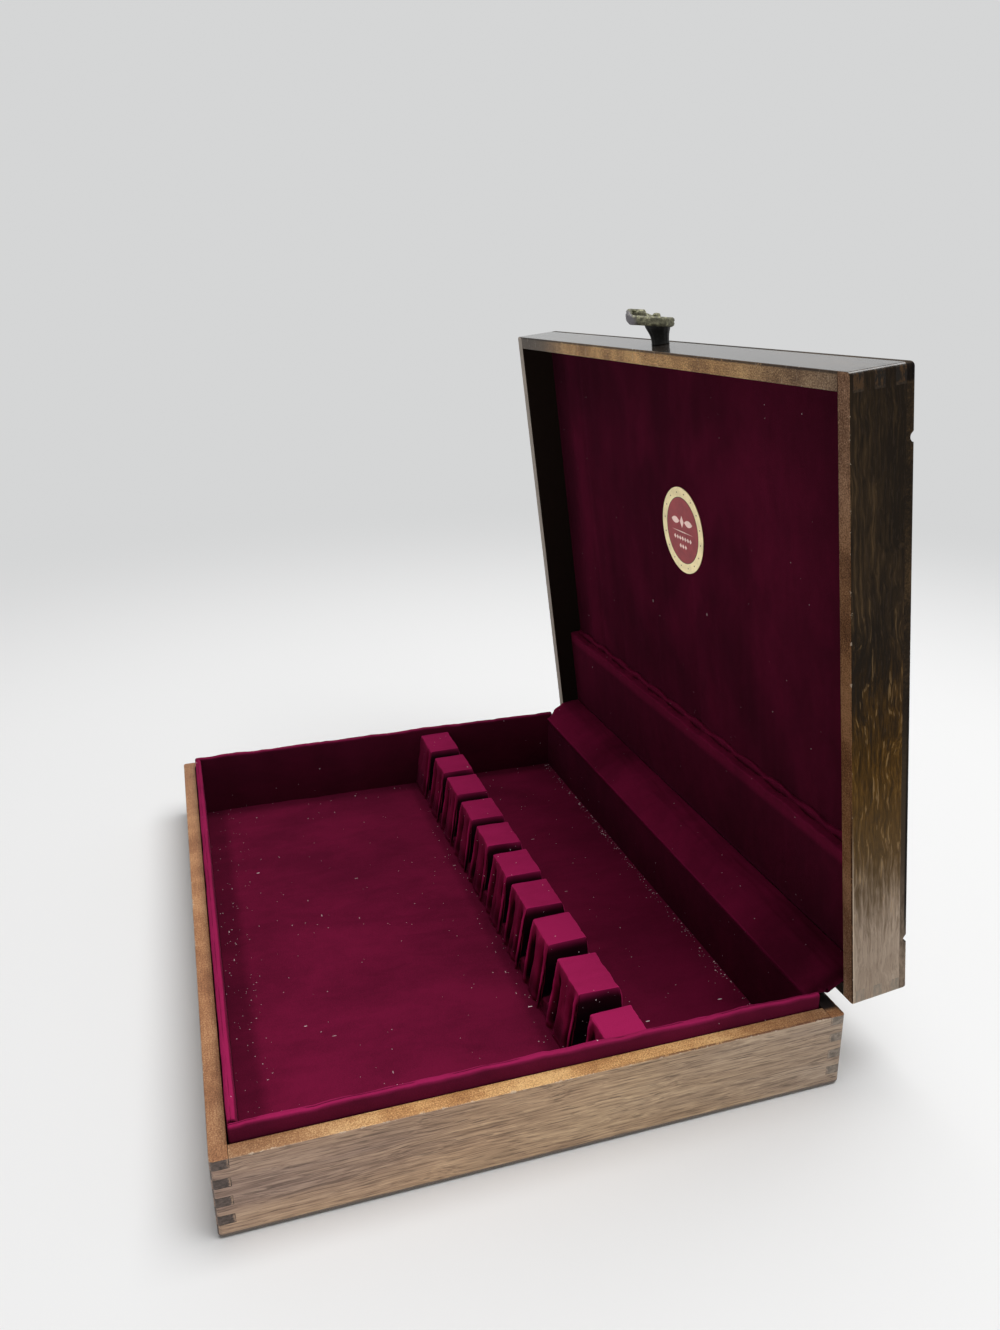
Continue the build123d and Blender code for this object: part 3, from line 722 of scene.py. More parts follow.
# Cloth-covered boards of the base
linings = {
    "step": 3.0,
    "lipRounds": {"foot": 0.6, "top": 1.9, "end": 1.2},
    "floorRounds": {"foot": 0.3, "top": 0.45, "end": 0.45},
    "linerTrim": (0.12, 0.12, 0.12),
    "floorTrim": (-0.28, -0.28, 0.05),  # the floor's cloth is tucked up to the liners
    "lipWaver": 0.28,
    "crestWaver": 0.8,
    "floorWaver": 0.22,
    "footSwell": 2.2,  # the far liner's cloth swells at its foot
    "swellHeight": 11.0,
}
floorLow, floorHigh = cornersOf("floor_board")
rackLow, rackHigh = cornersOf("flatware_rack")
lipTop = cornersOf("right_liner")[1].z
clothEndLight = (0.70, 1.06)  # painted light falloff: paler toward the right-hand end
floorLook = {
    "dust": 0.14,
    "dustLines": [
        (1, floorHigh.y - 1.5, 5.0, 2.6),
        (1, floorLow.y + 10, 14.0, 0.9),
        (1, rackLow.y - 3, 8.0, 0.5),
        (1, rackHigh.y + 1, 3.0, 0.3),
    ],
    "seams": [(1, floorHigh.y - 1.0, 3.6, 1.0), (0, floorLow.x + 1, 2.0, 0.25)],
    "shaded": [(1, floorLow.y + 4, 12.0, 0.60), (0, floorLow.x, 16.0, 0.65), (1, rackLow.y - 1, 9.0, 0.72)],
    "endLightFalloff": clothEndLight,
}
linerLook = {
    "dust": 0.05,
    # painted light on the lips' upper faces, painted shade on their upright faces, and painted flare haze
    "litTop": 1.0,
    "litTopSpan": (0.05, 0.80),
    "edges": 0.0,
    "turned": (0.60, 0.54),
    "flareHaze": (0.0042, 0.004, 0.005),
    "endLightFalloff": clothEndLight,
}
# the front liner's faces turned along Y get painted light instead of shade
frontLinerLook = {**linerLook, "turned": (0.60, 1.25)}
floorVelvet = velvetFinish("floorVelvet", False, **floorLook)
linerVelvet = velvetFinish("linerVelvet", False, **linerLook)
frontLinerVelvet = velvetFinish("frontLinerVelvet", False, **frontLinerLook)


def lipLump(point, normal):
    lump = linings["lipWaver"] * wave(point, (22, 22, 9), 3.1) * smooth((point.z - 6) / 12)
    swell = 0.0
    if normal.x > 0.3 and point.x < 0:
        uneven = 1 + 0.5 * wave(point, (30, 30, 30), 5.5)
        swell = linings["footSwell"] * smooth((linings["swellHeight"] - point.z) / 7) * uneven
    crest = linings["crestWaver"] * wave((point.x, point.y, 0), (18, 18, 1), 6.3)
    return normal * lump + Vector((swell, 0, crest * smooth((point.z - lipTop + 7) / 5)))


def floorLump(point, normal):
    lump = linings["floorWaver"] * (wave(point, (70, 45, 30), 7.7) - 0.4)
    return normal * lump * smooth(normal.z * 2 - 0.6)


def lineBase():
    step, rounds, trim = linings["step"], linings["lipRounds"], linings["linerTrim"]
    for node, axis in (("front_liner", 0), ("back_liner", 0), ("left_liner", 1), ("right_liner", 1)):
        cloth = frontLinerVelvet if node == "front_liner" else linerVelvet
        coveredBoard(node, cloth, axis, step, rounds, lipLump, trim=trim)
    rounds, trim = linings["floorRounds"], linings["floorTrim"]
    coveredBoard("floor_board", floorVelvet, 0, step, rounds, floorLump, trim=trim)


lineBase()
print("base linings made")


# Flatware rack
rack = {
    "step": 0.9,
    "slotWidths": (12.0, 8.4, 9.6, 9.2, 10.2, 8.8, 10.4, 12.6, 14.0),  # the cloth makes each one differ
    "slotLean": 0.6,  # each wall of a slot leans back this much over its height
    "slotShift": 0.5,
    "edgeRound": 0.35,
    "cornerRound": 0.9,
    "endTrim": 0.2,
    "topTrim": 0.5,
    "topHalfWidth": 10.15,
    "footFlare": 5.6,
    "flareCurve": 1.2,
    "mouthRound": 1.6,  # the cloth rounds over into each slot
    "mouthDepth": 1.1,
    "folds": ((1.9, 1.3, 1.7), (6.0, -2.6, 2.5), (10.3, 0.6, 2.6)),  # out from a slot, depth, width
    "foldAtFoot": 0.55,  # how much of each fold still scallops the hem
    "waver": 0.35,
    "lump": 0.16,
    "tilt": 0.35,  # each block's top is a little askew
    "seed": 11,
}
rackLook = {
    "dust": 0.18,
    "dustLines": [(2, floorHigh.z, 5.0, 0.7)],
    # painted light and shade: a lit copy of the cloth, lit tops, edge highlights, shade in hollows and on the slot
    # walls, light on the front and back faces, shade toward the foot, and light falling off toward the left
    "shade": 1.45,
    "litTop": 0.9,
    "litTopFrom": rackHigh.z - 3,
    "edges": 1.0,
    "edgeSpan": (0.51, 0.56),
    "hollowShade": 1.0,
    "turned": (0.03, 1.6),
    "shaded": [(2, rackLow.z, 17.0, 0.35)],
    "endLightFalloff": (0.60, 1.0),
}
rackVelvet = velvetFinish("rackVelvet", False, **rackLook)
dice = random.Random(rack["seed"])
slots = []  # (middle, width, floor)
for n, width in enumerate(rack["slotWidths"]):
    low, high = openings[f"rack_slot_{n + 1}"]
    shift = dice.uniform(-rack["slotShift"], rack["slotShift"])
    slots.append(((low.x + high.x) / 2 + shift, width, low.z - rackLow.z))

# Folds that the cloth makes down both faces beside each slot
folds = []  # (x, lean, depth, width)
for middle, width, foot in slots:
    for side in (-1, 1):
        for out, depth, spread in rack["folds"]:
            x = middle + side * (width / 2 + out + dice.uniform(-0.5, 0.5))
            lean = -side * dice.uniform(0.5, 2.0)
            depth *= dice.uniform(0.6, 1.15)
            folds.append((x, lean, depth, spread * dice.uniform(0.8, 1.2)))
tilts = [(dice.uniform(-1, 1), dice.uniform(-1, 1)) for n in range(len(slots) + 1)]


def rackTopAt(x, full):
    top = full
    for middle, width, foot in slots:
        rise = (abs(x - middle) - width / 2 + rack["slotLean"]) / rack["slotLean"]
        top = min(top, foot + (full - foot) * min(max(rise, 0.0), 1.0))
    return top


def rackHalfWidth(height, full):
    return rack["topHalfWidth"] + rack["footFlare"] * (1 - height / full) ** rack["flareCurve"]


def rackProfile(top, full, rows=14):  # (out, height) from one foot over the top to the other
    corner = min(rack["cornerRound"], top * 0.5)
    rises = [(top - corner) * k / rows for k in range(rows + 1)]
    half = [(rackHalfWidth(rise, full), rise) for rise in rises]
    shoulder = rackHalfWidth(top, full) - corner
    for k in range(1, 5):
        angle = k * pi / 8
        half.append((shoulder + corner * cos(angle), top - corner + corner * sin(angle)))
    half.append((shoulder / 2, top))
    return [(-out, height) for out, height in half] + [(0, top)] + half[::-1]


def rackFold(x, out, height, full):  # how far the cloth stands out from a side
    share = height / full
    fold = 0.0
    for place, lean, depth, width in folds:
        if abs(x - place) < 12:
            pushed = depth * bell(x - place - lean * (1 - share) ** 1.5, width)
            fold += pushed * smooth((0.95 - share) / 0.40) if depth < 0 else pushed
    atFoot = rack["foldAtFoot"]
    fold *= (atFoot + (1 - atFoot) * smooth(share * 7)) * smooth((full - height) / 5)
    leaning = rack["slotLean"] * share
    mouth = min(max(abs(x - place) - width / 2 + leaning, 0.0) for place, width, foot in slots)
    if mouth < rack["mouthRound"]:
        turnedIn = 1 - sqrt(1 - (1 - mouth / rack["mouthRound"]) ** 2)
        fold -= rack["mouthDepth"] * turnedIn * smooth((full - height) / 3)
    return fold + rack["waver"] * wave((x, out, height), (9, 30, 16), 1.3)


def rackRing(x):
    lift, slant = tilts[sum(x > middle for middle, width, foot in slots)]
    full = rackHigh.z - rackLow.z - rack["topTrim"] + rack["tilt"] * lift
    top = rackTopAt(x, full)
    middle = (rackLow.y + rackHigh.y) / 2
    points = []
    for out, height in rackProfile(top, full):
        onSide = abs(out) > rackHalfWidth(height, full) - 1.3
        push = rackFold(x, out, height, full) if onSide else 0.0
        askew = rack["tilt"] * slant * out / rack["topHalfWidth"] * smooth((height - top + 4) / 4)
        points.append(Vector((x, middle + out + (push if out > 0 else -push), rackLow.z + height + askew)))
    return points


def rackStations():  # even steps, with extra rings at each slot's edges so that they stay crisp
    start, end = rackLow.x + rack["endTrim"], rackHigh.x - rack["endTrim"]
    count = round((end - start) / rack["step"])
    places = [start + (end - start) * k / count for k in range(count + 1)]
    crisp = []
    for middle, width, foot in slots:
        for side in (-1, 1):
            for out in (-rack["slotLean"], -rack["edgeRound"], 0.0, rack["edgeRound"]):
                crisp.append(middle + side * (width / 2 + out))
    kept = [x for x in places if min(abs(x - edge) for edge in crisp) > rack["step"] * 0.45]
    return sorted(kept + crisp)


def rackLump(point, normal):
    return normal * rack["lump"] * wave(point, (7, 7, 7), 5.2)


rackRings = [rackRing(x) for x in rackStations()]
rackCloth = loft("flatware_rack_cloth", rackRings, rackVelvet, "base", False, rackLump)
padVelvet(rackCloth, 1.0, "flatware_rack")
print("flatware rack made")


# Lid lining, and the slits of the knife rack that its cloth puckers into
lining = {
    "step": 3.0,
    "rounds": {"foot": 0.9, "top": 0.4, "end": 0.9},
    "drape": 0.34,
    "sag": 0.25,
    "pucker": 0.42,
    "puckerWidth": 1.4,
    "puckers": ((-1, 11.0), (1, 16.0)),  # side of a slit, and how far the pucker runs from it
}
knifeRack = {
    "pitch": 29.0,
    "shift": -3.5,
    "openness": (18, 14, 19, 8, 19, 22, 12, 24, 26, 21, 13, 10),  # how long each slit gapes
    "slitGap": 0.6,
    "slitDepth": 9.0,
    "edgeRound": 1.2,
    "hump": 1.5,
    "lump": 0.14,
    "stations": 300,
    "seed": 5,
}
liningLow, liningHigh = cornersOf("lid_lining_board", True)
knifeLow, knifeHigh = cornersOf("knife_rack_front", True)
# a darker copy of the cloth, as painted shade on the lid, with painted flare haze
lidLook = {"dust": 0.03, "shade": 0.49, "flareHaze": (0.0046, 0.0046, 0.0052)}
liningShade = [(1, liningLow.y, 55.0, 0.72), (0, innerX, 80.0, 0.78), (0, -innerX, 34.0, 0.55)]
lidVelvet = velvetFinish("lidVelvet", True, **lidLook, patches=0.55, shaded=liningShade)
# painted light along the knife rack's upper edge, and on its faces turned along Y, which look up with the lid open
litTopEdge = [(1, knifeLow.y + 2.0, 7.0, 2.15)]
knifeVelvet = velvetFinish("knifeVelvet", True, **lidLook, turned=(1.0, 1.35), edges=0.0, shaded=litTopEdge)
dice = random.Random(knifeRack["seed"])
slits = []  # (middle, gape)
for n, gape in enumerate(knifeRack["openness"]):
    fromMiddle = (n - (len(knifeRack["openness"]) - 1) / 2) * knifeRack["pitch"]
    slits.append((fromMiddle + knifeRack["shift"] + dice.uniform(-1.5, 1.5), gape))


def liningLump(point, normal):
    if normal.z > -0.5:
        return Vector()
    drape = lining["drape"] * wave(point, (16, 150, 10), 2.2) + 0.15 * wave(point, (40, 40, 10), 8.0)
    fromRack = knifeLow.y - point.y
    pucker = 0.0
    for middle, gape in slits:
        for side, length in lining["puckers"]:
            reach = smooth(1 - fromRack / length) if fromRack > 0 else 1.0
            place = middle + side * (gape * 0.5 + fromRack * 0.12)
            pucker -= bell(point.x - place, lining["puckerWidth"]) * reach
    return normal * (drape + lining["pucker"] * pucker - lining["sag"])


coveredBoard("lid_lining_board", lidVelvet, 0, lining["step"], lining["rounds"], liningLump, onLid=True)
print("lid lining made")


# Knife rack in the lid
rackTopY = knifeLow.y + 0.5
faceZ = knifeLow.z + 0.15
spacerZ = cornersOf("knife_rack_spacers", True)[0].z


def gapeAt(x):
    return max(smooth((gape / 2 + 1.5 - abs(x - middle)) / 3.0) for middle, gape in slits)


def humpAt(x):
    nearest = min(abs(x - middle) for middle, gape in slits)
    return smooth(1 - nearest / (knifeRack["pitch"] * 0.52))


def knifeRing(x):  # up the face, round its edge, into the slit, over the crest and back, as (y, z)
    gape, hump = gapeAt(x), humpAt(x)
    sway = 0.9 * wave((x, 0, 0), (24, 1, 1), 4.4) + 0.4 * wave((x, 0, 0), (7, 1, 1), 9.4)
    top = rackTopY + sway + 0.4 * gape
    bulge = 0.35 * wave((x, 1, 0), (60, 1, 1), 6.1)
    edge, cut, rows = knifeRack["edgeRound"], 0.6, 12
    foot = knifeHigh.y - 0.1
    profile = [(foot, faceZ + cut), (foot - cut, faceZ)]
    for k in range(1, rows):
        y = foot - cut + (top + edge - foot + cut) * k / rows
        profile.append((y, faceZ - bulge * sin(pi * k / rows)))
    for k in range(6):
        angle = k * pi / 10
        profile.append((top + edge - edge * sin(angle), faceZ + edge - edge * cos(angle)))

    slitZ = spacerZ + 0.9
    gap = 0.15 + knifeRack["slitGap"] * gape
    dip = 0.14 + 0.8 * gape
    depth = 0.06 + knifeRack["slitDepth"] * gape
    profile += [(top, slitZ - 0.7), (top + dip * 0.2, slitZ - 0.25), (top + dip, slitZ)]
    profile += [(top + dip + depth * 0.5, slitZ), (top + dip + depth, slitZ + gap / 2)]
    profile += [(top + dip + depth * 0.5, slitZ + gap), (top + dip * 0.8, slitZ + gap)]
    crest = rackTopY - 0.6 - knifeRack["hump"] * hump
    behind = liningLow.z + 0.45
    profile += [(top - 0.1, slitZ + gap + 0.25), (crest + 0.5, slitZ + gap + 0.35)]
    profile += [(crest, slitZ + gap + 0.75), (crest - 0.5, liningLow.z + 0.15), (crest + 1.2, behind)]
    profile += [(rackTopY + 18, behind), (foot, behind)]
    return [Vector((x, y, z)) for y, z in profile]


def knifeLump(point, normal):
    return normal * knifeRack["lump"] * wave(point, (9, 9, 5), 3.3) if point.z < spacerZ else Vector()


knifeStart, knifeLength = knifeLow.x + 0.2, knifeHigh.x - knifeLow.x - 0.4
knifeRings = [knifeRing(knifeStart + knifeLength * share) for share in evenly(knifeRack["stations"])]
knifeCloth = loft("knife_rack_cloth", knifeRings, knifeVelvet, "lid", True, knifeLump)
padVelvet(knifeCloth, 0.9, "knife_rack_front", "knife_rack_spacers")
print("knife rack made")


# Cloth hinge strip, from the back liner's top round the lid's rim to the knife rack's foot
strip = {
    "thickness": 0.8,
    "wrinkle": 0.55,
    "flatLength": 29.0,
    "sideGap": 0.35,
    "waist": 4.65,  # it narrows by this much between the end liners
    "creasePlace": 0.62,
    "creaseDepth": 0.25,
    "rows": 28,
    "stations": 150,
}
stripShade = [(0, innerX, 75.0, 0.66), (0, innerX, 12.0, 0.45)]
stripVelvet = velvetFinish("stripVelvet", False, dust=0.12, shade=0.95, patches=0.5, shaded=stripShade)
backLow, backHigh = cornersOf("back_liner")
linerEnd = cornersOf("right_liner")[1].y + 0.5
stripStart = Vector((0, backLow.y + 0.1, backHigh.z + 0.3))
stripBend, stripEnd = [
    swingOpen @ (Vector((0, liningHigh.y, height - 0.3)) * mm) / mm for height in (lidRim, knifeLow.z)
]


def stripPoint(share):  # 0 at the base, 1 at the knife rack
    first, second = (stripBend - stripStart).length, (stripEnd - stripBend).length
    run = share * (first + second)
    if run < first:
        return stripStart.lerp(stripBend, run / first)
    return stripBend.lerp(stripEnd, (run - first) / second)


def stripRing(x):
    front, back = [], []
    for share in evenly(strip["rows"]):
        a, b = stripPoint(max(share - 0.03, 0)), stripPoint(min(share + 0.03, 1))
        along = (b - a).normalized()
        out = Vector((0, -along.z, along.y))
        past = smooth((stripPoint(share).y - linerEnd) / 3.0)
        half = innerX - strip["sideGap"] - strip["waist"] * (1 - past)
        place = stripPoint(share) + Vector((x * half / innerX, 0, 0))
        crease = bell(share - strip["creasePlace"], 0.04) * strip["creaseDepth"]
        wrinkle = strip["wrinkle"] * wave((x, 40 * share, 0), (34, 6, 1), 2.9)
        wrinkle *= smooth(share * 8) * smooth((1 - share) * 8)
        front.append(place + out * (strip["thickness"] * 0.95 + wrinkle - crease))
        back.append(place + out * (0.12 + wrinkle * 0.2))
    return front + back[::-1]


stripRings = [stripRing(innerX * (2 * share - 1)) for share in evenly(strip["stations"])]
hingeStrip = loft("hinge_cloth_strip", stripRings, stripVelvet, None)
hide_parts("hinge_cloth")
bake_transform(hingeStrip)
print("hinge strip made")


# Round label on the lining: a gilt border with beads, and a plain ornament on the field
label = {
    "border": (1.00, 0.84, 0.47),
    "field": (0.56, 0.062, 0.076),
    "mark": (1.00, 0.70, 0.62),
    "print": (0.085, 0.05, 0.026),
    "worn": 0.74,  # the worn tone against the full one
    "fieldShare": 0.76,
    "outline": 0.35,
    "beads": 16,
    "beadRadius": 0.42,
    "lozenge": (2.2, 3.4),
    "leaf": (9.5, 1.9),
    "rule": (12.5, 0.35),
    "smallLozenge": 1.35,
    "rows": ((7, 4.6), (3, 9.2)),  # how many small lozenges, and how far under the middle
    "rowPitch": 3.1,
}


def paperFinish(name, colour, roughness, metallic=0.0):
    material, shader = startMaterial(name, Roughness=roughness, Metallic=metallic)
    here = whereAndFacing(True)[0]
    fibre = grainNoise(here, (2.2, 2.2, 2.2), 4.0, 0.7)
    stain = grainNoise(here, (0.12, 0.12, 0.12), 3.0)
    tone = calc("ADD", times(fibre, 0.35), times(stain, 0.65))
    feed(shader, "Base Color", ramp(tone, [(0.35, toned(colour, label["worn"])), (0.60, colour)]))
    bumped(shader, fibre, 0.03)
    return material


def lozenge(x, y, width, height):
    return [(x - width, y), (x, y - height), (x + width, y), (x, y + height)]


def leaf(x, y, length, width):
    half = [(x + length * k / 8, width * sin(pi * k / 8) ** 0.8) for k in range(9)]
    return [(px, y - w) for px, w in half] + [(px, y + w) for px, w in half[7:0:-1]]


def labelShapes():  # (outline, how far its face and its back stand out, material slot)
    low, high = cornersOf("lining_label", True)
    radius, field = (high.x - low.x) / 2, label["fieldShare"]
    cx, cy = (low.x + high.x) / 2, (low.y + high.y) / 2
    rounds = [
        (radius, 0.0, low.z - high.z - 0.1, 0),
        (radius * field + label["outline"], 0.03, -0.02, 3),
        (radius * field, 0.06, -0.02, 1),
    ]
    shapes = [(oval(cx, cy, size, size, 96), *rest) for size, *rest in rounds]
    beadPlace, beadSize = radius * (1 + field) / 2, label["beadRadius"]
    for k in range(label["beads"]):
        angle = 2 * pi * (k + 0.5) / label["beads"]
        bead = (cx + beadPlace * cos(angle), cy + beadPlace * sin(angle), beadSize, beadSize)
        shapes.append((oval(*bead, 10), 0.05, -0.02, 3))
    length, width = label["leaf"]
    marks = [
        lozenge(cx, cy - 5.0, *label["lozenge"]),
        leaf(cx + 3.0, cy - 5.0, length, width),
        leaf(cx - 3.0, cy - 5.0, -length, width),
        lozenge(cx, cy + 0.8, *label["rule"]),
    ]
    size = label["smallLozenge"]
    for count, under in label["rows"]:
        places = [cx + (k - (count - 1) / 2) * label["rowPitch"] for k in range(count)]
        marks += [lozenge(x, cy + under, size, size) for x in places]
    return low.z, shapes + [(mark, 0.09, 0.02, 2) for mark in marks]


def labelMesh():
    bm = bmesh.new()
    front, shapes = labelShapes()
    for outline, faceOut, backOut, slotIndex in shapes:
        lower = [bm.verts.new((x, y, front - backOut)) for x, y in outline]
        upper = [bm.verts.new((x, y, front - faceOut)) for x, y in outline]
        faces = [bm.faces.new(upper), bm.faces.new(lower[::-1])]
        for k in range(len(outline)):
            faces.append(bm.faces.new((lower[k - 1], lower[k], upper[k], upper[k - 1])))
        for face in faces:
            face.material_index = slotIndex
    return bm


gilt = paperFinish("giltFoil", label["border"], 0.32, metallic=1.0)
labelPiece = finishMesh("round_label", labelMesh(), gilt, "lid", True, sharpAngle=30)
labelPiece.data.materials.append(paperFinish("brickPaper", label["field"], 0.55))
labelPiece.data.materials.append(paperFinish("foilPrint", label["mark"], 0.35, metallic=1.0))
labelPiece.data.materials.append(paperFinish("umberPrint", label["print"], 0.5))
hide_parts("lining_label")
print("label made")


# Cast pull
pull = {
    "stemRadius": 4.35,
    "stemSide": 0.6,
    "stemHeight": 10.8,
    "stemFlare": 2.5,
    "stemLean": 0.33,
    "flutes": 12,
    "fluteDepth": 0.10,
    "plateDrop": 5.1,
    "plateTilt": 10.5,
    "plateLength": 26.7,
    "plateWidth": 19.6,
    "plateThickness": 4.8,
    "lobe": 0.42,
    "loopCentre": -6.6,
    "loopSize": (5.9, 4.9),
    "loopRise": 3.2,  # the loop's far side was cast, or bent, this much higher
    "knock": 0.22,
    "bossPlace": (-1.6, 4.4),
    "palmPlace": (0.0, 6.2),
    # nearly black: the stem's patina, darkened further as painted shade under the plate
    "stemPatinaAndShade": (0.0075, 0.007, 0.0058),
    "stemWorn": (0.05, 0.048, 0.03),
    "patina": (0.14, 0.134, 0.085),
    "greyTip": (0.19, 0.178, 0.19),
    "wornBrass": (0.60, 0.60, 0.36),
}
screwLow, screwHigh = cornersOf("pull_screw", True)
pullHeight = (screwLow.z + screwHigh.z) / 2
toPull = Matrix.Translation((0, -boxDepth / 2, pullHeight)) @ Matrix.Rotation(pi / 2, 4, "X")
plateMiddle = Matrix.Translation((0, -pull["plateDrop"], pull["stemHeight"] - 0.8))
toPlate = toPull @ plateMiddle @ Matrix.Rotation(radians(-pull["plateTilt"]), 4, "X")


def castFinish(name, dark, light, wear):
    material, shader = startMaterial(name, Metallic=0.55, Roughness=0.48)
    here = whereAndFacing(True)[0]
    mottle = grainNoise(here, (0.50, 0.50, 0.50), 5.0, 0.65)
    grit = grainNoise(here, (2.2, 2.2, 2.2), 3.0, 0.7)
    tone = ramp(mottle, [(0.35, toned(dark, 0.35)), (0.52, dark), (0.70, toned(dark, 2.2))])
    tip = band(split(here)[2], pullHeight - 14.0, pullHeight - 16.6)  # the loop's tip stayed grey
    tone = tint(tip, tone, pull["greyTip"])
    crest = put("ShaderNodeNewGeometry").outputs["Pointiness"]
    uneven = times(minus(mottle, 0.5), 0.22)
    rubbed = times(band(calc("ADD", crest, uneven), 0.55, 0.63), wear)
    feed(shader, "Base Color", tint(rubbed, tone, light))
    bumped(shader, mixed((mottle, 1.0), (grit, 0.6)), 0.3)
    return material


def stemRing(height):  # the neck flares toward the loop
    share = height / pull["stemHeight"]
    flare = pull["stemFlare"] * (0.35 * share + 0.65 * smooth((share - 0.2) / 0.8) ** 1.4)
    middle = pull["stemSide"] - pull["stemLean"] * flare
    points = []
    for k in range(60):
        angle = 2 * pi * k / 60
        flute = pull["fluteDepth"] * cos(pull["flutes"] * angle)
        radius = pull["stemRadius"] + flare + 0.25 * bell(height, 0.8) + flute
        points.append(Vector((radius * cos(angle), radius * sin(angle) + middle, height)))
    return points


def signedPower(value, power):
    return abs(value) ** power * (1 if value > 0 else -1)


def plateOutline(inset, count=96):  # a blunt oval with lobes round its edge
    points = []
    for k in range(count):
        angle = 2 * pi * k / count
        lobe = pull["lobe"] * abs(sin(5 * angle)) - 0.3
        across, along = [pull[size] / 2 - 0.3 - inset + lobe for size in ("plateWidth", "plateLength")]
        blunt = 0.78 if sin(angle) > 0 else 0.98
        points.append((across * signedPower(cos(angle), blunt), along * signedPower(sin(angle), 0.86)))
    return points


def loopOutline(inset, count=96):
    wide, high = pull["loopSize"]
    return oval(0, pull["loopCentre"], wide + inset, high + inset, count)


def ringRows(bm, rows, closed):
    rings = [[bm.verts.new((x, y, height)) for x, y in outline] for outline, height in rows]
    for row, after in zip(rings, rings[1:] + (rings[:1] if closed else [])):
        for k in range(len(row)):
            bm.faces.new((row[k - 1], row[k], after[k], after[k - 1]))
    if not closed:
        bm.faces.new(rings[0][::-1])
        bm.faces.new(rings[-1])


def pullPlate():  # profiles as (inset, height), and as (height on the plate, radius) for boss and palm
    thick = pull["plateThickness"]
    outer = [(1.1, 0.0), (0.2, 0.7), (0.0, 1.8), (0.35, 2.6), (0.05, 3.3), (0.35, thick - 0.6)]
    outer += [(1.1, thick - 0.05), (1.9, thick), (2.6, thick - 0.35), (3.1, thick - 1.1)]
    hole = [(1.0, thick - 1.1), (0.5, thick - 0.7), (0.0, thick - 1.0), (-0.15, 2.4), (0.0, 0.8), (0.6, 0.0)]
    boss = [(-2.4, 2.2), (0.6, 2.1), (1.3, 1.8), (1.7, 1.2), (1.8, 0.4)]
    palm = [(-2.6, 6.6), (-1.0, 6.4), (-0.6, 5.4), (-0.5, 2.0)]
    bm = bmesh.new()
    ringRows(bm, [(plateOutline(i), h) for i, h in outer] + [(loopOutline(i), h) for i, h in hole], True)
    for place, profile in ((pull["bossPlace"], boss), (pull["palmPlace"], palm)):
        ringRows(bm, [(oval(*place, radius, radius, 32), thick + up) for up, radius in profile], False)
    for vertex in bm.verts:
        x, y, height = vertex.co
        rise = pull["loopRise"] * smooth((3.0 - x) / 8.0) * smooth((2.2 - y) / 2.2)
        knock = pull["knock"] * wave((x, y, height), (3.4, 3.4, 3.4), 6.6)
        place = Vector((x * (1 + knock / 12), y * (1 + knock / 14), height + rise + 0.5 * knock))
        vertex.co = toPlate @ place
    return bm


# the stem: patina and painted shade under the plate
darkBrass = castFinish("stemPatinaAndShade", pull["stemPatinaAndShade"], pull["stemWorn"], 0.3)
agedBrass = castFinish("agedBrass", pull["patina"], pull["wornBrass"], 0.9)
stem = [[toPull @ point for point in stemRing(pull["stemHeight"] * share)] for share in evenly(24)]
pullStem = loft("pull_stem", stem, darkBrass, "lid", True)
pullPlatePiece = finishMesh("pull_plate", pullPlate(), agedBrass, "lid", True)
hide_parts("lid_pull")
print("pull made")


# Finishes of the carried-over solids
metals = {
    "hinge": {"colour": (0.36, 0.27, 0.13), "roughness": 0.38},
    "steel": {"colour": (0.42, 0.40, 0.37), "roughness": 0.4},
}
bottomBoard = {
    "face": [(0.35, (0.10, 0.065, 0.042)), (0.65, (0.21, 0.145, 0.095))],
    "edge": ((0.085, 0.066, 0.054), (0.20, 0.155, 0.122)),
    "roughness": 0.6,
    "bump": 0.08,
}


def plainMetal(name, onLid, colour, roughness):
    material, shader = startMaterial(name, Metallic=1.0, Roughness=roughness)
    here = whereAndFacing(onLid)[0]
    mottle = grainNoise(here, (0.35, 0.35, 0.35), 5.0, 0.6)
    scratch = grainNoise(here, (0.15, 2.5, 2.5), 3.0, 0.6)
    tone = calc("ADD", times(mottle, 0.7), times(scratch, 0.3))
    feed(shader, "Base Color", ramp(tone, [(0.30, toned(colour, 0.55)), (0.66, colour)]))
    bumped(shader, tone, 0.05)
    return material


def panelFinish():
    material, shader = startMaterial("bottomBoard", Roughness=bottomBoard["roughness"])
    here, facing = whereAndFacing(False)
    streak, fibre, pore, cloud, fleck = figured(here, False)
    face = ramp(scaled(fibre, 0.5, times(cloud, 0.5)), bottomBoard["face"])
    edge = tint(fibre, *bottomBoard["edge"])
    upright = band(split(facing)[2], -0.85, -0.5)
    feed(shader, "Base Color", tint(upright, face, edge))
    bumped(shader, fibre, bottomBoard["bump"])
    return material


finishes = {
    walnutFinish("baseLongWalnut", False, False): ["base_front_wall", "base_back_wall"],
    walnutFinish("baseEndWalnut", False, True): ["base_left_wall", "base_right_wall"],
    walnutFinish("lidLongWalnut", True, False): ["lid_front_wall", "lid_back_wall"],
    walnutFinish("lidEndWalnut", True, True): ["lid_left_wall", "lid_right_wall"],
    walnutFinish("lidPanelWalnut", True, False, panel=True): ["lid_top_panel"],
    panelFinish(): ["base_bottom_panel"],
    plainMetal("hingeBrass", False, **metals["hinge"]): [
        *[f"{side}_hinge_{part}" for side in ("left", "right") for part in ("base_leaf", "pin")],
        "hinge_base_screws",
    ],
    plainMetal("lidHingeBrass", True, **metals["hinge"]): [
        "left_hinge_lid_leaf", "right_hinge_lid_leaf", "hinge_lid_screws",
    ],
    plainMetal("plainSteel", False, **metals["steel"]): ["bottom_panel_brads", "pull_screw"],
}
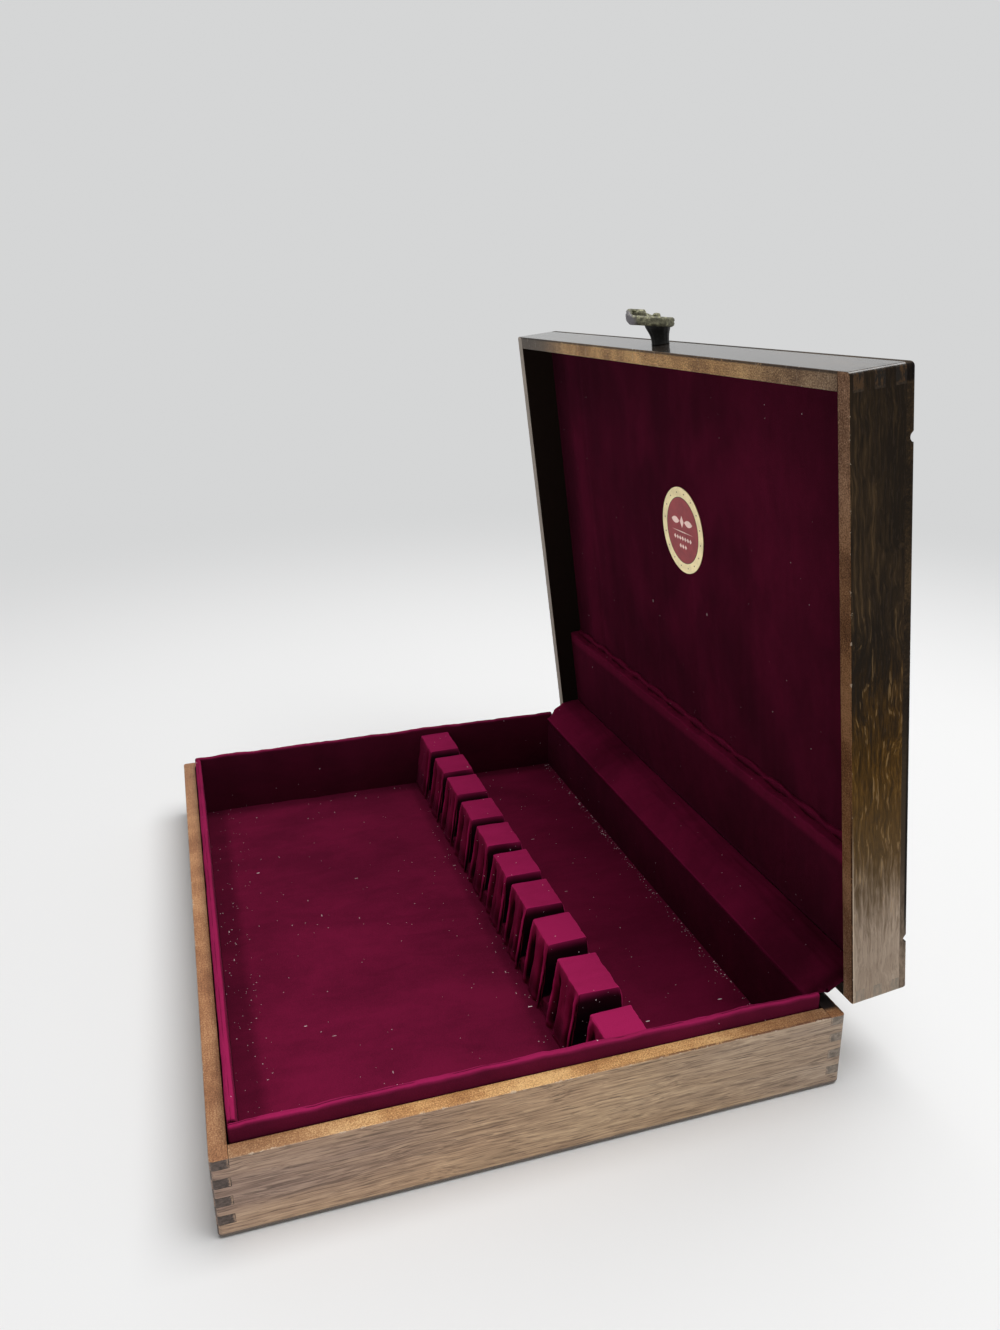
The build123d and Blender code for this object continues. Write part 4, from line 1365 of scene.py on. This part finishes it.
for material, names in finishes.items():
    for name in names:
        frame["nodes"][name].data.materials.clear()
        frame["nodes"][name].data.materials.append(material)
print("solids finished")


# Floor, light and camera
studio = {
    "floor": {"Base_Color": (0.83, 0.83, 0.83), "Roughness": 0.9, "Specular_IOR_Level": 0.1},
    "floorGap": 0.0003,  # keeps the floor off the face that rests on it
    "backdrop": (0.665, 0.67, 0.672),
    "dimSide": (0.155, 0.155, 0.155),
    "brightSide": (0.52, 0.52, 0.52),
    "brightToward": (-0.60, 0.78, 0.20),  # pale walls stand on the far and back sides
    "fade": (0.45, 1.3),  # the floor goes over into the backdrop between these distances
    "key": {"place": (0.15, 0.62, 2.5), "aim": (0, 0, 0.05), "size": (2.2, 2.2), "power": 63.0},
    # a low strip for the outer end faces
    "fill": {"place": (1.35, -0.15, 0.13), "aim": (0, -0.15, 0.13), "size": (1.4, 0.22), "power": 3.0},
}
view = {
    "place": (0.5244, -0.123, 0.3493),
    "turn": (70.703, 0.89, 72.957),  # degrees
    "lens": 28.475,
    "shift": (0.00285, -0.00324),
}


def seenBy(*rays):  # 1 for these kinds of ray, 0 for others
    path = put("ShaderNodeLightPath").outputs
    seen = 0.0
    for ray in rays:
        seen = calc("MAXIMUM", seen, path[f"Is {ray} Ray"])
    return seen


def stageFloor():
    bpy.ops.mesh.primitive_plane_add(size=40)
    floor = bpy.context.object
    floor.name = "studio_floor"
    floor.location.z = -studio["floorGap"]
    material, shader = startMaterial("paleFloor", **studio["floor"])
    place = put("ShaderNodeTexCoord").outputs["Object"]
    away = put("ShaderNodeVectorMath", {0: place}, operation="LENGTH").outputs["Value"]
    far = times(band(away, *studio["fade"]), seenBy("Camera", "Glossy"))
    glow = put("ShaderNodeEmission", {"Color": studio["backdrop"], "Strength": 1.0}).outputs[0]
    both = put("ShaderNodeMixShader", {0: far, 1: shader.outputs[0], 2: glow}).outputs[0]
    feed(material.node_tree.nodes["Material Output"], 0, both)
    floor.data.materials.append(material)


def stageWorld():
    world = bpy.data.worlds.new("paleStudio")
    bpy.context.scene.world = world
    world.use_nodes = True
    tree = openTree(world.node_tree)
    toward = put("ShaderNodeTexCoord").outputs["Generated"]
    inputs = {0: toward, 1: studio["brightToward"]}
    facing = put("ShaderNodeVectorMath", inputs, operation="DOT_PRODUCT").outputs["Value"]
    ambient = tint(band(facing, -0.6, 0.9), studio["dimSide"], studio["brightSide"])
    colour = tint(seenBy("Camera", "Glossy", "Transmission"), ambient, studio["backdrop"])
    feed(tree.nodes["Background"], "Color", colour)


def areaLight(name, place, aim, size, power):
    light = bpy.data.lights.new(name, "AREA")
    light.shape, light.size, light.size_y, light.energy = "RECTANGLE", *size, power
    lamp = bpy.data.objects.new(name, light)
    lamp.location = place
    lamp.visible_camera = False
    lamp.rotation_euler = (Vector(aim) - Vector(place)).to_track_quat("-Z", "Y").to_euler()
    bpy.context.scene.collection.objects.link(lamp)


def placeCamera():
    lens = bpy.data.cameras.new("camera")
    lens.sensor_fit, lens.sensor_width, lens.lens = "AUTO", 36.0, view["lens"]
    lens.shift_x, lens.shift_y = view["shift"]
    camera = bpy.data.objects.new("camera", lens)
    camera.location = view["place"]
    camera.rotation_euler = [radians(angle) for angle in view["turn"]]
    bpy.context.scene.collection.objects.link(camera)
    bpy.context.scene.camera = camera


stageFloor()
stageWorld()
areaLight("softKey", **studio["key"])
areaLight("lowFill", **studio["fill"])
placeCamera()
bpy.context.scene.view_settings.view_transform = "Standard"
print("studio ready")
